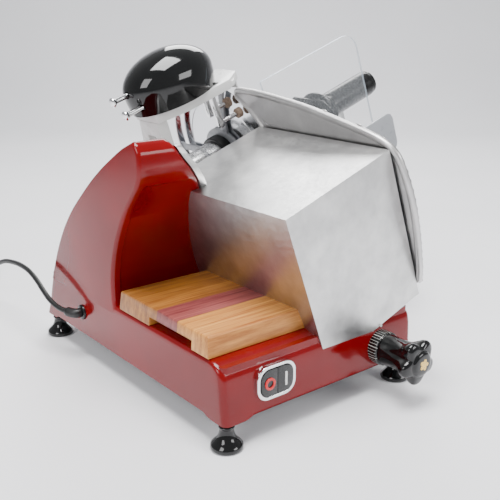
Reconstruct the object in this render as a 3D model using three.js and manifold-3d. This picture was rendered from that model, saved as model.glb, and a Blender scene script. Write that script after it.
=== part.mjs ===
// Compact gravity-feed deli slicer with a 220 mm blade. Millimetres, +Z up.
// Built in the base's own axes: X runs right from the left wall, Y runs away from the operator from the
// front face, Z is height above the table. The last lines move the origin under the middle of the machine.
import * as THREE from 'three';
import { ConvexGeometry } from 'three/addons/geometries/ConvexGeometry.js';
import { mergeVertices } from 'three/addons/utils/BufferGeometryUtils.js';
import Module from 'manifold-3d';

const wasm = await Module();
wasm.setup();

// ---------- driving dimensions ----------
const gap = 0.3;                 // clearance between touching pieces
const wall = 4;                  // casting wall
const baseWidth = 294;
const rimZ = 96;                 // flat top of the base
const lobeUnder = 27;            // underside of the corner lobes
const skirtUnder = 31.5;         // underside of the skirt between the lobes
const bladeTilt = 20;            // blade plane, degrees from upright
const bladeRadius = 110;
const axisAt = [255.5, 335, 235.4]; // blade axis at the foot of the blade's plane
const plateD = [4, 12];          // gauge plate, along the blade axis
const ringInner = 113;           // inside of the ring guard and of the plate's hollow edge
const neckRadius = 31;
const noseEnd = -76.3;           // end of the round nose that carries the neck
const motorAt = [-35, -78.5];    // motor axis, along Y and up the plane from the blade axis
const pulleyRadius = { blade: 36, motor: 14 };
const beltD = [-154, -146];
const beltGap = 0.6;             // belt to pulley
const motorFaceD = -158;
const boardTop = 120;
const boardRight = [292.4, 292.4, 288, 286.8]; // its leaning right end, from the bottom up
const knobAt = [237, 54];        // thickness knob axis, x and z
const switchAt = [70.5, 62];     // middle of the switch, x and z
const studAt = [230, 78];        // gauge stud, x and y
const gaugeTravel = 13;
const feetAt = { front_left: [8, 8], rear_left: [8, 403], front_right: [273, 8], rear_right: [273, 403] };
const sharpY = -45;              // sharpener centre line, along Y from the blade axis
const noseS = [121, 128];        // its bridge over the blade
const deckS = [120, 132];        // sharpener casting, up the plane
const domeAt = [-75, sharpY, 158];
const domeHalf = [65, 46, 39];
const tableS = -118.5;           // food table surface, up the plane
const fenceY = -185;
const guardY = -107;             // clear hand guard
const rodAt = [272, 60];         // carriage rod, x and z
const gaugeRodAt = [82, 72];     // gauge rod, y and z
const pusherRodAt = [-25, -6];   // pusher rod, along Y and up the plane
const handleAt = [-65, 16];
const handleRadius = 19;
const cordRadius = 3.5;
const glandAt = [312, 62];       // y and z on the left wall
const coilAt = [-10, 735];

const rad = THREE.MathUtils.degToRad;
const V2 = (x, y) => new THREE.Vector2(x, y);
const V3 = (x, y, z) => new THREE.Vector3(x, y, z);

// ---------- finishes ----------
const finish = (color, roughness, metalness, extra = {}) => () =>
  new THREE.MeshStandardMaterial({ color, roughness, metalness, ...extra });
const redEnamel = finish(0x9c0509, 0.2, 0);
const castAluminium = finish(0xb9b6b4, 0.4, 1);
const polishedAluminium = finish(0xd4d0cc, 0.18, 1);
const satinAluminium = finish(0x9f9a97, 0.42, 1);
const mirrorSteel = finish(0xd8d8d8, 0.06, 1);
const chromeFinish = finish(0xe2e2e2, 0.06, 1);
const darkSteel = finish(0x6b6f72, 0.4, 1);
const greyEnamel = finish(0x8b8f92, 0.4, 0);
const whiteEnamel = finish(0xdcdcda, 0.3, 0);
const blackPlastic = finish(0x0b0d0e, 0.18, 0);
const blackRubber = finish(0x121212, 0.8, 0);
const oak = finish(0xb9772f, 0.5, 0);
const clearAcrylic = finish(0xf1f4f8, 0.05, 0, { transparent: true, opacity: 0.3 });
const brassFinish = finish(0xc9a14c, 0.3, 1);
const stoneFinish = finish(0x8c8378, 0.9, 0);

// ---------- solids ----------
function solid(geometry) {
  const bare = geometry.clone();
  bare.deleteAttribute('normal');
  bare.deleteAttribute('uv');
  const merged = mergeVertices(bare, 1e-4);
  const index = merged.index.array;
  const kept = [];
  for (let i = 0; i < index.length; i += 3) {
    const [a, b, c] = [index[i], index[i + 1], index[i + 2]];
    if (a !== b && b !== c && a !== c) kept.push(a, b, c);
  }
  const build = (tri) => new wasm.Manifold(new wasm.Mesh({
    numProp: 3, vertProperties: new Float32Array(merged.attributes.position.array), triVerts: new Uint32Array(tri),
  }));
  const made = build(kept);
  if (made.volume() > 0) return made;
  for (let i = 0; i < kept.length; i += 3) [kept[i + 1], kept[i + 2]] = [kept[i + 2], kept[i + 1]];
  return build(kept);
}

function toGeometry(manifold) {
  const mesh = manifold.getMesh();
  const geometry = new THREE.BufferGeometry();
  geometry.setAttribute('position', new THREE.BufferAttribute(new Float32Array(mesh.vertProperties), 3));
  geometry.setIndex(Array.from(mesh.triVerts));
  return geometry;
}

const join = (...pieces) => pieces.reduce((sum, piece) => sum.add(piece));
const cut = (body, ...tools) => tools.reduce((left, tool) => left.subtract(tool), body);

// A shape drawn in the X-Y plane and pulled up Z.
function slab(shape, height, options = {}) {
  return new THREE.ExtrudeGeometry(shape, { depth: height, bevelEnabled: false, curveSegments: 7, ...options });
}

const outline = (points) => new THREE.Shape(points.map(([x, y]) => V2(x, y)));

function roundedRect(width, height, radius) {
  const [w, h, r] = [width / 2, height / 2, radius];
  const shape = new THREE.Shape();
  shape.moveTo(-w + r, -h);
  shape.lineTo(w - r, -h);
  shape.absarc(w - r, -h + r, r, -Math.PI / 2, 0, false);
  shape.lineTo(w, h - r);
  shape.absarc(w - r, h - r, r, 0, Math.PI / 2, false);
  shape.lineTo(-w + r, h);
  shape.absarc(-w + r, h - r, r, Math.PI / 2, Math.PI, false);
  shape.lineTo(-w, -h + r);
  shape.absarc(-w + r, -h + r, r, Math.PI, 1.5 * Math.PI, false);
  return shape;
}

const box = (x0, x1, y0, y1, z0, z1) =>
  new THREE.BoxGeometry(x1 - x0, y1 - y0, z1 - z0).translate((x0 + x1) / 2, (y0 + y1) / 2, (z0 + z1) / 2);

// Turned piece: profile of [radius, height] pairs about Z.
function turned(profile, segments = 30) {
  return new THREE.LatheGeometry(profile.map(([r, h]) => V2(r, h)), segments).rotateX(Math.PI / 2);
}

// Axes of the turned piece laid along X, Y or left on Z.
const alongX = (geometry) => geometry.rotateY(Math.PI / 2);
const alongY = (geometry) => geometry.rotateX(-Math.PI / 2);

const rod = (radius, from, to, segments = 24) => turned([[0, from], [radius, from], [radius, to], [0, to]], segments);
const ring = (inner, outer, from, to, segments = 30) =>
  turned([[inner, from], [outer, from], [outer, to], [inner, to], [inner, from]], segments);

// Walls between closed sections of equal length, with flat ends.
function loft(sections) {
  const count = sections[0].length;
  const positions = sections.flat(2);
  const index = [];
  for (let k = 0; k + 1 < sections.length; k++) {
    for (let i = 0; i < count; i++) {
      const j = (i + 1) % count;
      const [a, b, c, d] = [k * count + i, k * count + j, (k + 1) * count + j, (k + 1) * count + i];
      index.push(a, b, c, a, c, d);
    }
  }
  const last = (sections.length - 1) * count;
  for (let i = 1; i + 1 < count; i++) {
    index.push(0, i + 1, i);
    index.push(last, last + i, last + i + 1);
  }
  const geometry = new THREE.BufferGeometry();
  geometry.setAttribute('position', new THREE.BufferAttribute(new Float32Array(positions), 3));
  geometry.setIndex(index);
  return geometry;
}

function tube(points, radius, steps, sides = 10) {
  const section = new THREE.Shape();
  for (let i = 0; i < sides; i++) {
    const a = (2 * Math.PI * i) / sides;
    if (i === 0) section.moveTo(radius, 0);
    else section.lineTo(radius * Math.cos(a), radius * Math.sin(a));
  }
  const path = new THREE.CatmullRomCurve3(points.map((p) => V3(...p)), false, 'centripetal');
  return new THREE.ExtrudeGeometry(section, { steps, bevelEnabled: false, extrudePath: path });
}

// Closed outline moved outwards by a distance (inwards when negative).
function grown(points, distance) {
  const count = points.length;
  const area = points.reduce((sum, [x, y], i) => {
    const [nx, ny] = points[(i + 1) % count];
    return sum + x * ny - nx * y;
  }, 0);
  const side = Math.sign(area) * distance;
  return points.map(([x, y], i) => {
    const [px, py] = points[(i + count - 1) % count];
    const [nx, ny] = points[(i + 1) % count];
    const before = V2(x - px, y - py).normalize();
    const after = V2(nx - x, ny - y).normalize();
    const middle = V2(before.y + after.y, -before.x - after.x).normalize();
    const stretch = 1 / Math.max(0.5, middle.x * before.y - middle.y * before.x);
    return [x + middle.x * side * stretch, y + middle.y * side * stretch];
  });
}

// A YZ outline pulled along X, and an XZ outline pulled along Y.
const pulledX = (points, from, to) => solid(
  slab(outline(points), to - from).rotateZ(Math.PI / 2).rotateY(Math.PI / 2).translate(from, 0, 0));
const pulledY = (points, from, to) => solid(
  slab(outline(points), to - from).rotateX(Math.PI / 2).translate(0, to, 0));

// ---------- scene graph ----------
const group = new THREE.Group();
const machine = new THREE.Group();
group.add(machine);

// The cutting frame: X along the blade axis towards the food, Y unchanged, Z up the blade plane.
const cutting = new THREE.Group();
cutting.position.set(...axisAt);
cutting.rotation.y = -rad(bladeTilt);
machine.add(cutting);

function add(name, shape, material, parent = machine) {
  const mesh = new THREE.Mesh(toGeometry(shape.isBufferGeometry ? solid(shape) : shape), material());
  mesh.name = name;
  parent.add(mesh);
}
const addTilted = (name, shape, material) => add(name, shape, material, cutting);
// A solid of the cutting frame carried into the base's axes, and back.
const intoBase = (piece) => piece.rotate([0, -bladeTilt, 0]).translate(axisAt);
const intoCutting = (piece) => piece.translate(axisAt.map((v) => -v)).rotate([0, bladeTilt, 0]);

// A shape drawn in [y, s] and pulled along the blade axis, and one in [d, s] pulled along Y.
const facing = (shape, from, to, options = {}) => solid(
  slab(shape, to - from, options).rotateZ(Math.PI / 2).rotateY(Math.PI / 2).translate(from, 0, 0));

// ---------- housing: base shell, sail-shaped tower and drive bulge ----------
const baseSide = [
  [0, lobeUnder], [3, 49], [4.2, 71.5], [7.4, 84], [16, 92], [30, rimZ],
  [394, rimZ], [400, 90], [404.6, 81.3], [417, 47.7], [427, lobeUnder]];
const baseFront = [[0, 20], [baseWidth, 20], [baseWidth, 80], [291, 88.5], [284, 94], [274, rimZ + 1], [0, rimZ + 1]];
const sailSide = [
  [222, 88], [226.6, 104], [226.4, 117], [226, 130], [221, 154.5], [211, 180.6], [199.4, 202.7], [186, 223.4],
  [173.4, 238.6], [156, 260], [151.5, 276], [152.5, 292], [158, 302], [165, 306], [173, 302.5], [190, 295.2],
  [214.3, 281.5], [239.9, 265.9], [267.3, 247], [296.6, 223.7], [328.3, 196.2], [356.5, 164.6], [378.6, 131.5],
  [404.6, 81.3], [400, 78], [240, 78]];
const slope = [
  [178, 96], [170, 117], [160, 135], [142.5, 171], [118, 212], [100, 236], [77, 263], [55, 290], [49, 300], [43, 306]];
const sailFront = [[0, 60], [190, 60], ...slope, [0, 306]];
const bulgeD = [-178, -129];
function bulgeOutline(radius) {
  const shape = new THREE.Shape();
  shape.absarc(0, 0, radius, rad(6), rad(174), false);
  shape.lineTo(-radius - 22, -130);
  shape.lineTo(radius + 14, -130);
  return shape;
}
function housing() {
  const base = (side, front, from, to) => pulledX(side, from, to).intersect(pulledY(front, -10, 440));
  const outer = join(
    base(baseSide, baseFront, 0, baseWidth),
    pulledX(sailSide, 0, 200).intersect(pulledY(sailFront, 100, 440)),
    intoBase(facing(bulgeOutline(46), ...bulgeD)).intersect(solid(box(0, 250, 200, 440, 80, 300))));
  const openBelow = (points) => points.map(([a, b]) => [a, b < lobeUnder + 1 ? b - 20 : b]);
  const inner = join(
    base(openBelow(grown(baseSide, -wall)), [
      [wall, 0], [baseWidth - wall, 0], [baseWidth - wall, 79], [280, 91.5], [272, 93], [wall, 93]], wall, baseWidth - wall)
      .intersect(solid(box(0, 300, 0, 430, 0, rimZ - wall))),
    pulledX(grown(sailSide, -wall), wall, 200).intersect(pulledY(grown(sailFront, -wall), 100, 440))
      .intersect(solid(box(wall, 250, 200, 440, 0, 300)).add(solid(box(wall, 250, 100, 440, 130, 310)))),
    intoBase(facing(bulgeOutline(42), bulgeD[0] + wall, bulgeD[1] - wall))
      .intersect(solid(box(wall, 250, 200, 420, 84, 300))));
  const lugs = [[164, 174], [246, 254.4]].map((x) => cut(solid(box(...x, 74, 90, 62, 94)),
    solid(alongX(rod(6.8, 150, 300)).translate(0, ...gaugeRodAt))));
  const corners = Object.values(feetAt).map(([x, y]) => solid(box(x - 12, x + 12, y - 12, y + 12, lobeUnder, 46))
    .intersect(base(baseSide, baseFront, 0, baseWidth)));
  const shell = join(cut(outer, inner), ...corners, ...lugs);
  const arch = join(solid(box(-5, 300, 36, 392, 0, skirtUnder)), solid(box(30, 262, -5, 440, 0, skirtUnder)));
  return cut(shell, arch,
    pulledX([...frontRecess, ...frontRecess.slice().reverse().map(([y, z]) => [y - 6, z - 1])], 13, 240),
    solid(box(studAt[0] - gaugeTravel - 8, studAt[0] + 8, studAt[1] - 8, studAt[1] + 8, 85, 100)),
    solid(alongY(rod(7.5, -10, 20)).translate(knobAt[0], 0, knobAt[1])),
    pulledSwitch(54 + 2 * gap, 40 + 2 * gap, -5, 12),
    solid(alongX(rod(6.3, -5, 8)).translate(0, glandAt[0], glandAt[1])),
    intoBase(solid(alongX(rod(12, -135, -100)))),
    solid(box(baseWidth - 10, baseWidth + 5, 30, 396, rodAt[1] - 8, rodAt[1] + 8)));
}
// Edge line of the tower's sunk front panel, in YZ.
const frontRecess = [[227.6, 98.5], [228, 117], [227.6, 130], [222.6, 154.5], [212.6, 180.6], [201, 202.7], [187.6, 223.4],
  [175, 238.6], [161, 256]];
function pulledSwitch(width, height, from, to, corner = 15) {
  return solid(slab(roundedRect(width, height, corner), to - from).rotateX(Math.PI / 2)
    .translate(switchAt[0], to, switchAt[1]));
}
add('housing', housing(), redEnamel);

add('bottom_cover', cut(
  solid(box(wall + 1, baseWidth - wall - 1, 9, 406, skirtUnder + 0.5, skirtUnder + 2.5)),
  ...Object.values(feetAt).map(([x, y]) => solid(box(x - 13, x + 13, y - 13, y + 13, 0, 60)))), darkSteel);

for (const [corner, [x, y]] of Object.entries(feetAt)) {
  add(`foot_${corner}`, turned([
    [0, 0], [15.5, 0], [17.8, 2.2], [18, 5], [14, 9.5], [9.8, 14.5], [7.6, 20], [7.2, lobeUnder - gap], [0, lobeUnder - gap],
  ], 20).translate(x, y, 0), blackPlastic);
}

// ---------- cutting board ----------
function cuttingBoard() {
  const bottom = rimZ + gap;
  const ringAt = (grow, z, right) => [
    [3 - grow, 31 - grow, z], [right, 31 - grow, z], [right, 209.5 + grow, z], [3 - grow, 209.5 + grow, z]];
  const levels = [[2.4, bottom], [2.4, bottom + 4], [0.5, boardTop - 1], [-0.8, boardTop]];
  const sections = levels.map(([grow, z], i) => ringAt(grow, z, boardRight[i]));
  const slot = join(
    solid(box(studAt[0] - gaugeTravel, studAt[0], studAt[1] - 7.5, studAt[1] + 7.5, 90, 130)),
    ...[0, gaugeTravel].map((back) => solid(rod(7.5, 90, 130).translate(studAt[0] - back, studAt[1], 0))));
  return cut(solid(loft(sections)), slot, solid(box(-5, 14, 60, 145, 90, 107)));
}
add('cutting_board', cuttingBoard(), oak);

// ---------- switch ----------
add('switch_bezel', cut(pulledSwitch(54, 40, -0.8, 9), pulledSwitch(46, 32, -5, 20, 12)), chromeFinish);
for (const [name, x0, x1] of [['off_button', -30, -0.4], ['on_button', 0.4, 30]]) {
  const half = solid(box(switchAt[0] + x0, switchAt[0] + x1, -10, 20, 0, 100));
  const mark = name === 'off_button'
    ? solid(alongY(ring(4.3, 7, -3.2, -1)).translate(switchAt[0] - 11.3, 0, switchAt[1]))
    : solid(box(switchAt[0] + 10.3, switchAt[0] + 12.9, -3, -1, switchAt[1] - 8, switchAt[1] + 8));
  add(name, join(pulledSwitch(45.2, 31.2, -1.6, 4.5, 11.6).intersect(half), mark), blackPlastic);
}

// ---------- thickness knob and cam ----------
const onKnob = (geometry) => solid(alongY(geometry).translate(knobAt[0], 0, knobAt[1]));
add('dial_ring', cut(onKnob(turned([[7.8, -9.6], [19.6, -9.6], [21, -8.2], [21, 1], [7.8, 1], [7.8, -9.6]], 28)),
  pulledX(grown(baseSide, gap), 200, 290)), blackPlastic);
function knob() {
  const star = new THREE.Shape();
  for (let i = 0; i < 40; i++) {
    const a = (2 * Math.PI * i) / 40;
    const r = 25 + 4.2 * Math.cos(5 * (a + rad(23)));
    star[i ? 'lineTo' : 'moveTo'](r * Math.cos(a), r * Math.sin(a));
  }
  const head = slab(star, 10, { bevelEnabled: true, bevelThickness: 2, bevelSize: 2, bevelOffset: -2, bevelSegments: 1 });
  return cut(join(
    onKnob(turned([[0, -10], [19, -10], [18.6, -18], [18.2, -30], [18.8, -40], [20.5, -48], [0, -48], [0, -10]], 26)),
    solid(head.rotateX(Math.PI / 2).translate(knobAt[0], -48, knobAt[1])),
    onKnob(turned([[0, -59], [15, -59], [15, -62.6], [13, -64], [0, -65]], 28))), onKnob(rod(6.8, -50, 5)));
}
add('thickness_knob', knob(), blackPlastic);
add('knob_spindle', onKnob(rod(6.5, -49.7, 58)), darkSteel);
add('gauge_cam', onKnob(ring(6.8, 17, 50, 57, 28)), brassFinish);

// ---------- gauge: plate, foot, stud, carrier and guide ----------
function gaugeOutline(inset = 0) {
  const outer = [
    [-92, -119], [-117, -128.8], [-255.6, -128.9], [-293.6, -128.2], [-334.6, -125.9], [-339.6, -101.8],
    [-346.1, -56.8], [-349.1, -14.8], [-347.4, 17.8], [-342.2, 46.3], [-336, 58.5], [-325.1, 67.5], [-304.5, 76],
    [-259.7, 86.9], [-194.7, 100.7], [-121.3, 110.1], [-69, 111.2], [-62, 105]];
  const arc = [];
  for (let a = 122; a <= 227; a += 5) arc.push([(ringInner) * Math.cos(rad(a)), (ringInner) * Math.sin(rad(a))]);
  const all = [...outer, ...arc, [-80, -97]];
  return outline(inset ? grown(all, -inset) : all);
}
function gaugePlate() {
  const sheet = facing(gaugeOutline(), plateD[0] + 4.5, plateD[1]);
  const rim = cut(facing(gaugeOutline(), plateD[0], plateD[0] + 4.6), facing(gaugeOutline(6), plateD[0] - 1, plateD[0] + 6));
  const grooves = [];
  for (let s = -110; s < 70; s += 12) grooves.push(solid(box(plateD[1] - 1, plateD[1] + 2, -400, -60, s, s + 3)));
  const lip = solid(box(plateD[1] - 2, plateD[1] + 5, -330, -120, -128.4, -125.4));
  return join(cut(join(sheet, rim), ...grooves), lip);
}
addTilted('gauge_plate', gaugePlate(), satinAluminium);
function gaugeFoot() {
  const points = [
    [276.5, 188, 189], [275.6, 119.5, 192], [284, 190, 186], [283, 118, 189], [314, 218, 121], [314, 80, 121],
    [246, 139, 128], [230, 53, 128], [272, 60, 128], [246, 139, 124], [230, 53, 124]];
  const hull = solid(new ConvexGeometry(points.map((p) => V3(...p))));
  const flange = solid(slab(outline([[222.5, 43], [276, 52.5], [316, 84], [316, 214], [243, 141.5]]), 8).translate(0, 0, 121));
  return join(hull, flange).intersect(intoBase(solid(box(-160, plateD[0] - gap, -330, -100, -140, 60))));
}
add('gauge_foot', gaugeFoot(), castAluminium);
add('gauge_stud', rod(5.5, 84.3, 121 - gap, 24).translate(studAt[0], studAt[1], 0), chromeFinish);
add('gauge_carrier', cut(solid(box(studAt[0] - 26, studAt[0] + 10, 60, 104, 60, 84)),
  solid(alongX(rod(6.6, 150, 300)).translate(0, ...gaugeRodAt))), castAluminium);
add('gauge_rod', alongX(rod(6.5, 166, 254)).translate(0, ...gaugeRodAt), chromeFinish);

// ---------- frame cap, nose and neck ----------
const capSide = [...sailSide.slice(1, 11), [151, 289], [158, 299], [190, 291], [240, 266], [290, 252], [330, 248],
  [358, 236], [376, 215], [384, 190], [390, 140], [393, rimZ + gap], [223, rimZ + gap]];
const slopeBand = (near, far) => {
  const side = (distance) => grown([[0, 60], [190, 60], ...slope, [0, 306]], distance).slice(2, 2 + slope.length);
  return pulledY([...side(near), ...side(far).reverse()], 100, 440);
};
add('frame_cap', cut(slopeBand(gap, 7).intersect(pulledX(capSide, 50, 220)),
  intoBase(solid(alongX(rod(12, -140, -90)))), intoBase(facing(bulgeOutline(46 + gap), bulgeD[0], bulgeD[1] + gap))), castAluminium);
addTilted('drive_nose', cut(
  solid(alongX(ring(22, 44, -132, noseEnd, 56))),
  intoCutting(pulledY([...grown([[0, 60], [190, 60], ...slope, [0, 306]], 7 + gap)], 100, 440)),
  facing(bulgeOutline(46 + gap), bulgeD[0] - 5, bulgeD[1] + gap)), castAluminium);
addTilted('neck_seal_left', alongX(ring(22, 38, noseEnd + gap, -66, 32)), blackRubber);
addTilted('neck_tube', alongX(ring(22, neckRadius, -65.7, -35.2, 32)), satinAluminium);
addTilted('neck_collar', alongX(ring(22, neckRadius, -34.9, -14.3, 32)), satinAluminium);
addTilted('neck_seal_right', alongX(ring(22.5, 36, -14, 1, 32)), blackRubber);
addTilted('shaft_bearing', alongX(ring(9.3, 21.7, -104, -92, 32)), darkSteel);

// ---------- guards round the blade ----------
const sector = (inner, outer, from, to) => {
  const shape = new THREE.Shape();
  shape.absarc(0, 0, outer, rad(from), rad(to), false);
  shape.absarc(0, 0, inner, rad(to), rad(from), true);
  return shape;
};
function ringGuard() {
  const band = facing(sector(ringInner, 120, -115, 112), -2, 10, { curveSegments: 26 });
  const hub = solid(alongX(ring(15, 45, 1.3, 6, 32)));
  const arms = [108, 250, 0].map((a) => solid(box(1.3, 5.6, -5.5, 5.5, 40, 116)).rotate([a - 90, 0, 0]));
  return join(band, hub, ...arms);
}
addTilted('ring_guard', ringGuard(), greyEnamel);
function lowerGuard() {
  const web = pulledY([[152, rimZ + gap], [152, 168], [160, 200], [172, 202], [206, 161], [240, 117], [244, rimZ + gap]], 231, 236);
  const rim = solid(tube([[166, 233.5, 204], [182, 233.5, 189], [205, 233.5, 161], [222, 233.5, 140], [238, 233.5, 118]], 7.5, 16, 12));
  const foot = solid(box(152, 244, 231, 262, rimZ + gap, rimZ + 4));
  return cut(join(web, rim, foot), slopeBand(-30, 7 + gap));
}
add('lower_guard', lowerGuard(), polishedAluminium);
const hornPath = [[253.5, 259, 104.2], [264, 265, 104.2], [280, 271, 108], [292, 275, 117], [298, 278, 126]];
add('guard_horn', cut(solid(tube(hornPath, 7.5, 16, 12)), intoBase(solid(alongX(rod(120.4, -8, 20, 72))))), polishedAluminium);
add('slice_deflector', pulledY([[268.5, 192], [270, 192.3], [288.6, 143.5], [247.6, 101], [246.4, 102], [285.3, 144]], 276, 330),
  mirrorSteel);

// ---------- blade, shaft and belt drive ----------
addTilted('blade', alongX(turned([
  [10, 7.4], [83, 7.4], [86, 8.4], [93, 9], [bladeRadius, 11.6], [bladeRadius, 12], [104, 11.6], [92, 11], [85, 10.4],
  [10, 10.4], [10, 7.4]], 32)), mirrorSteel);
addTilted('blade_shaft', alongX(turned([
  [5, -164], [9, -164], [9, -10], [13, -10], [13, 7.1], [9.7, 7.1], [9.7, 10.2], [5, 10.2], [5, -164]], 32)), darkSteel);
addTilted('blade_cover', alongX(turned([[0, 10.7], [80, 10.7], [80.5, 11.8], [78, 13], [0, 13]], 28)), polishedAluminium);
addTilted('blade_pulley', alongX(ring(9.3, pulleyRadius.blade, ...beltD, 32)), castAluminium);
function beltOutline(extra) {
  const [y, s] = motorAt;
  const [big, small] = [pulleyRadius.blade + extra, pulleyRadius.motor + extra];
  const direction = Math.atan2(s, y);
  const spread = Math.acos((big - small) / Math.hypot(y, s));
  const shape = new THREE.Shape();
  shape.absarc(0, 0, big, direction + spread, direction - spread + 2 * Math.PI, false);
  shape.absarc(y, s, small, direction - spread, direction + spread, false);
  return shape;
}
addTilted('drive_belt', cut(
  facing(beltOutline(3), beltD[0] + 0.8, beltD[1] - 0.8), facing(beltOutline(beltGap), -170, -130)), blackRubber);
const onMotor = (geometry) => alongX(geometry).translate(0, ...motorAt);
addTilted('motor_pulley', onMotor(turned([[0, motorFaceD - 8], [5, motorFaceD - 8], [5, beltD[0]], [pulleyRadius.motor, beltD[0]],
  [pulleyRadius.motor, beltD[1]], [0, beltD[1]]], 32)), castAluminium);
addTilted('motor_body', cut(
  solid(onMotor(turned([[0, -250], [34, -250], [40, -246], [42, -238], [42, -168], [38, -162], [14, motorFaceD], [0, motorFaceD]], 40))),
  solid(onMotor(rod(5.4, -170, -140, 20)))), darkSteel);
addTilted('motor_bracket', cut(
  facing(outline([[-80, -118], [10, -118], [10, -38], [-80, -38]]), motorFaceD + gap, motorFaceD + 2.7),
  solid(onMotor(rod(6, -170, -140)))), castAluminium);

// ---------- sharpener ----------
function sharpenerArm() {
  const post = facing(outline([[-66, deckS[0] - gap], [-24, deckS[0] - gap], [-6, 60], [-2, 40], [-44, 4], [-56, 20], [-62, 60]]), -124, -108);
  const window = facing(outline([[-56, 52], [-30, 52], [-34, 100], [-52, 100]]), -130, -100);
  return cut(post, window, solid(alongX(rod(44 + gap, -140, -100, 56))),
    facing(bulgeOutline(46 + gap), bulgeD[0] - 5, bulgeD[1] + gap),
    intoCutting(pulledY(grown([[0, 60], [190, 60], ...slope, [0, 306]], 7 + gap), 100, 440)));
}
addTilted('sharpener_arm', sharpenerArm(), whiteEnamel);
const stones = {
  sharpening: { at: [-46.3, 90.9], stem: [-46, 163], head: -164 },
  deburring: { at: [-65.6, 78.1], stem: [-62, 146], head: -162 },
};
// Half-egg with nearly upright sides below its widest line.
function dome(a, b, c) {
  const profile = [[0, -1], [0.9, -1], [0.975, -0.4], [1, 0]];
  for (let k = 1; k < 8; k++) profile.push([Math.cos((k * Math.PI) / 16), Math.sin((k * Math.PI) / 16)]);
  return turned([...profile, [0, 1]], 36).scale(a, b, c).translate(...domeAt);
}
function sharpenerBody() {
  const plan = outline([[-124, sharpY - 26], [-80, sharpY - 38], [-10, sharpY - 38], [16, sharpY - 20], [16, sharpY + 20],
    [-10, sharpY + 36], [-80, sharpY + 36], [-124, sharpY + 26]]);
  const deck = solid(slab(plan, deckS[1] - deckS[0]).translate(0, 0, deckS[0]));
  const nose = join(
    solid(slab(outline([[-14, -83], [-3, -81], [16, -62], [16, -28], [-3, -12], [-14, -10]]), noseS[1] - noseS[0])
      .translate(0, 0, noseS[0])),
    solid(box(13.5, 16, -60, -30, 108, noseS[1])));
  return cut(join(cut(deck, solid(box(-11, 30, -100, 20, 100, noseS[0]))), nose),
    solid(box(-38, -22, -76, -38, 90, 140)), solid(box(-116, -40, -64, -26, deckS[0] + 4, 140)));
}
addTilted('sharpener_body', sharpenerBody(), whiteEnamel);
addTilted('sharpener_cover', cut(solid(dome(...domeHalf)), solid(box(-300, 100, -300, 300, 0, deckS[1] + gap)),
  solid(dome(...domeHalf.map((half) => half - 3))),
  ...Object.values(stones).map(({ stem }) => solid(alongX(rod(4.6, -180, -90)).translate(0, ...stem)))), blackPlastic);
for (const [name, { at, stem, head }] of Object.entries(stones)) {
  const low = at[1] - 6;
  addTilted(`${name}_button`, join(
    solid(alongX(turned([[0, head], [4, head + 0.5], [6.4, head + 2.4], [6.4, head + 4.4], [3.4, head + 7],
      [3.4, -31], [0, -31]], 24)).translate(0, ...stem)),
    facing(outline([[at[0] - 5, low], [at[0] + 5, low], [stem[0] + 4, stem[1] + 5], [stem[0] - 4, stem[1] + 5]]), -35, -29),
    solid(alongX(rod(3, -30, -3.3)).translate(0, ...at))), chromeFinish);
  addTilted(`${name}_stone`, alongX(rod(7, -3, 4.6, 28)).translate(0, ...at), stoneFinish);
}

// ---------- carriage: rod, arm, table, fence, guard and pusher ----------
add('carriage_rod', alongY(rod(8, 8.2, 403)).translate(rodAt[0], 0, rodAt[1]), chromeFinish);
const carriageY = [205, 265];    // arm and sliding block at rest
add('carriage_block', cut(solid(box(rodAt[0] - 13, rodAt[0] + 12.5, ...carriageY, rodAt[1] - 14, rodAt[1] + 14)),
  solid(alongY(rod(8.3, 0, 428)).translate(rodAt[0], 0, rodAt[1]))), castAluminium);
function carriageArm() {
  const points = [[284.8, 54], [318, 54], [398, 118], [398, 138], [386, 138], [314, 78], [300, 67], [284.8, 67]];
  return cut(pulledY(points, ...carriageY.map((y, i) => (i ? y - 8 : y + 8))),
    intoBase(solid(box(-100, 400, -300, 200, tableS - 4 - gap, 100))));
}
add('carriage_arm', carriageArm(), castAluminium);
addTilted('food_table', join(
  solid(slab(outline([[20, fenceY + 4 + gap], [163, fenceY + 4 + gap], [205, -128], [205, 20], [20, 20]]), 4)
    .translate(0, 0, tableS - 4)),
  solid(box(201, 205, -125, 20, tableS - 1, tableS + 22)),
  solid(box(190, 205, guardY + 2 + gap, guardY + 6, tableS - 1, -40))), satinAluminium);
const fenceOutline = [
  [20, tableS - 4], [118, tableS - 4], [124, -60], [136, -40], [155, -38], [162, -35], [165, -28], [165, 8], [162, 15],
  [155, 18], [20, 18]];
addTilted('fence', slab(outline(fenceOutline), 4).rotateX(Math.PI / 2).translate(0, fenceY + 4, 0), greyEnamel);
function handGuard() {
  const shape = new THREE.Shape();
  shape.moveTo(19, -58);
  shape.lineTo(200, -58);
  shape.lineTo(200, 92);
  shape.absarc(174, 92, 26, 0, Math.PI / 2, false);
  shape.lineTo(19, 118);
  return solid(slab(shape, 4).rotateX(Math.PI / 2).translate(0, guardY + 2, 0));
}
addTilted('hand_guard', handGuard(), clearAcrylic);
addTilted('pusher_post', cut(solid(box(205.3, 213, pusherRodAt[0] - 9, pusherRodAt[0] + 9, tableS - 4, pusherRodAt[1] + 10)),
  solid(alongX(rod(6.3, 150, 230)).translate(0, ...pusherRodAt))), castAluminium);
addTilted('pusher_rod', alongX(rod(6, 24, 218, 24)).translate(0, ...pusherRodAt), chromeFinish);
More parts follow.
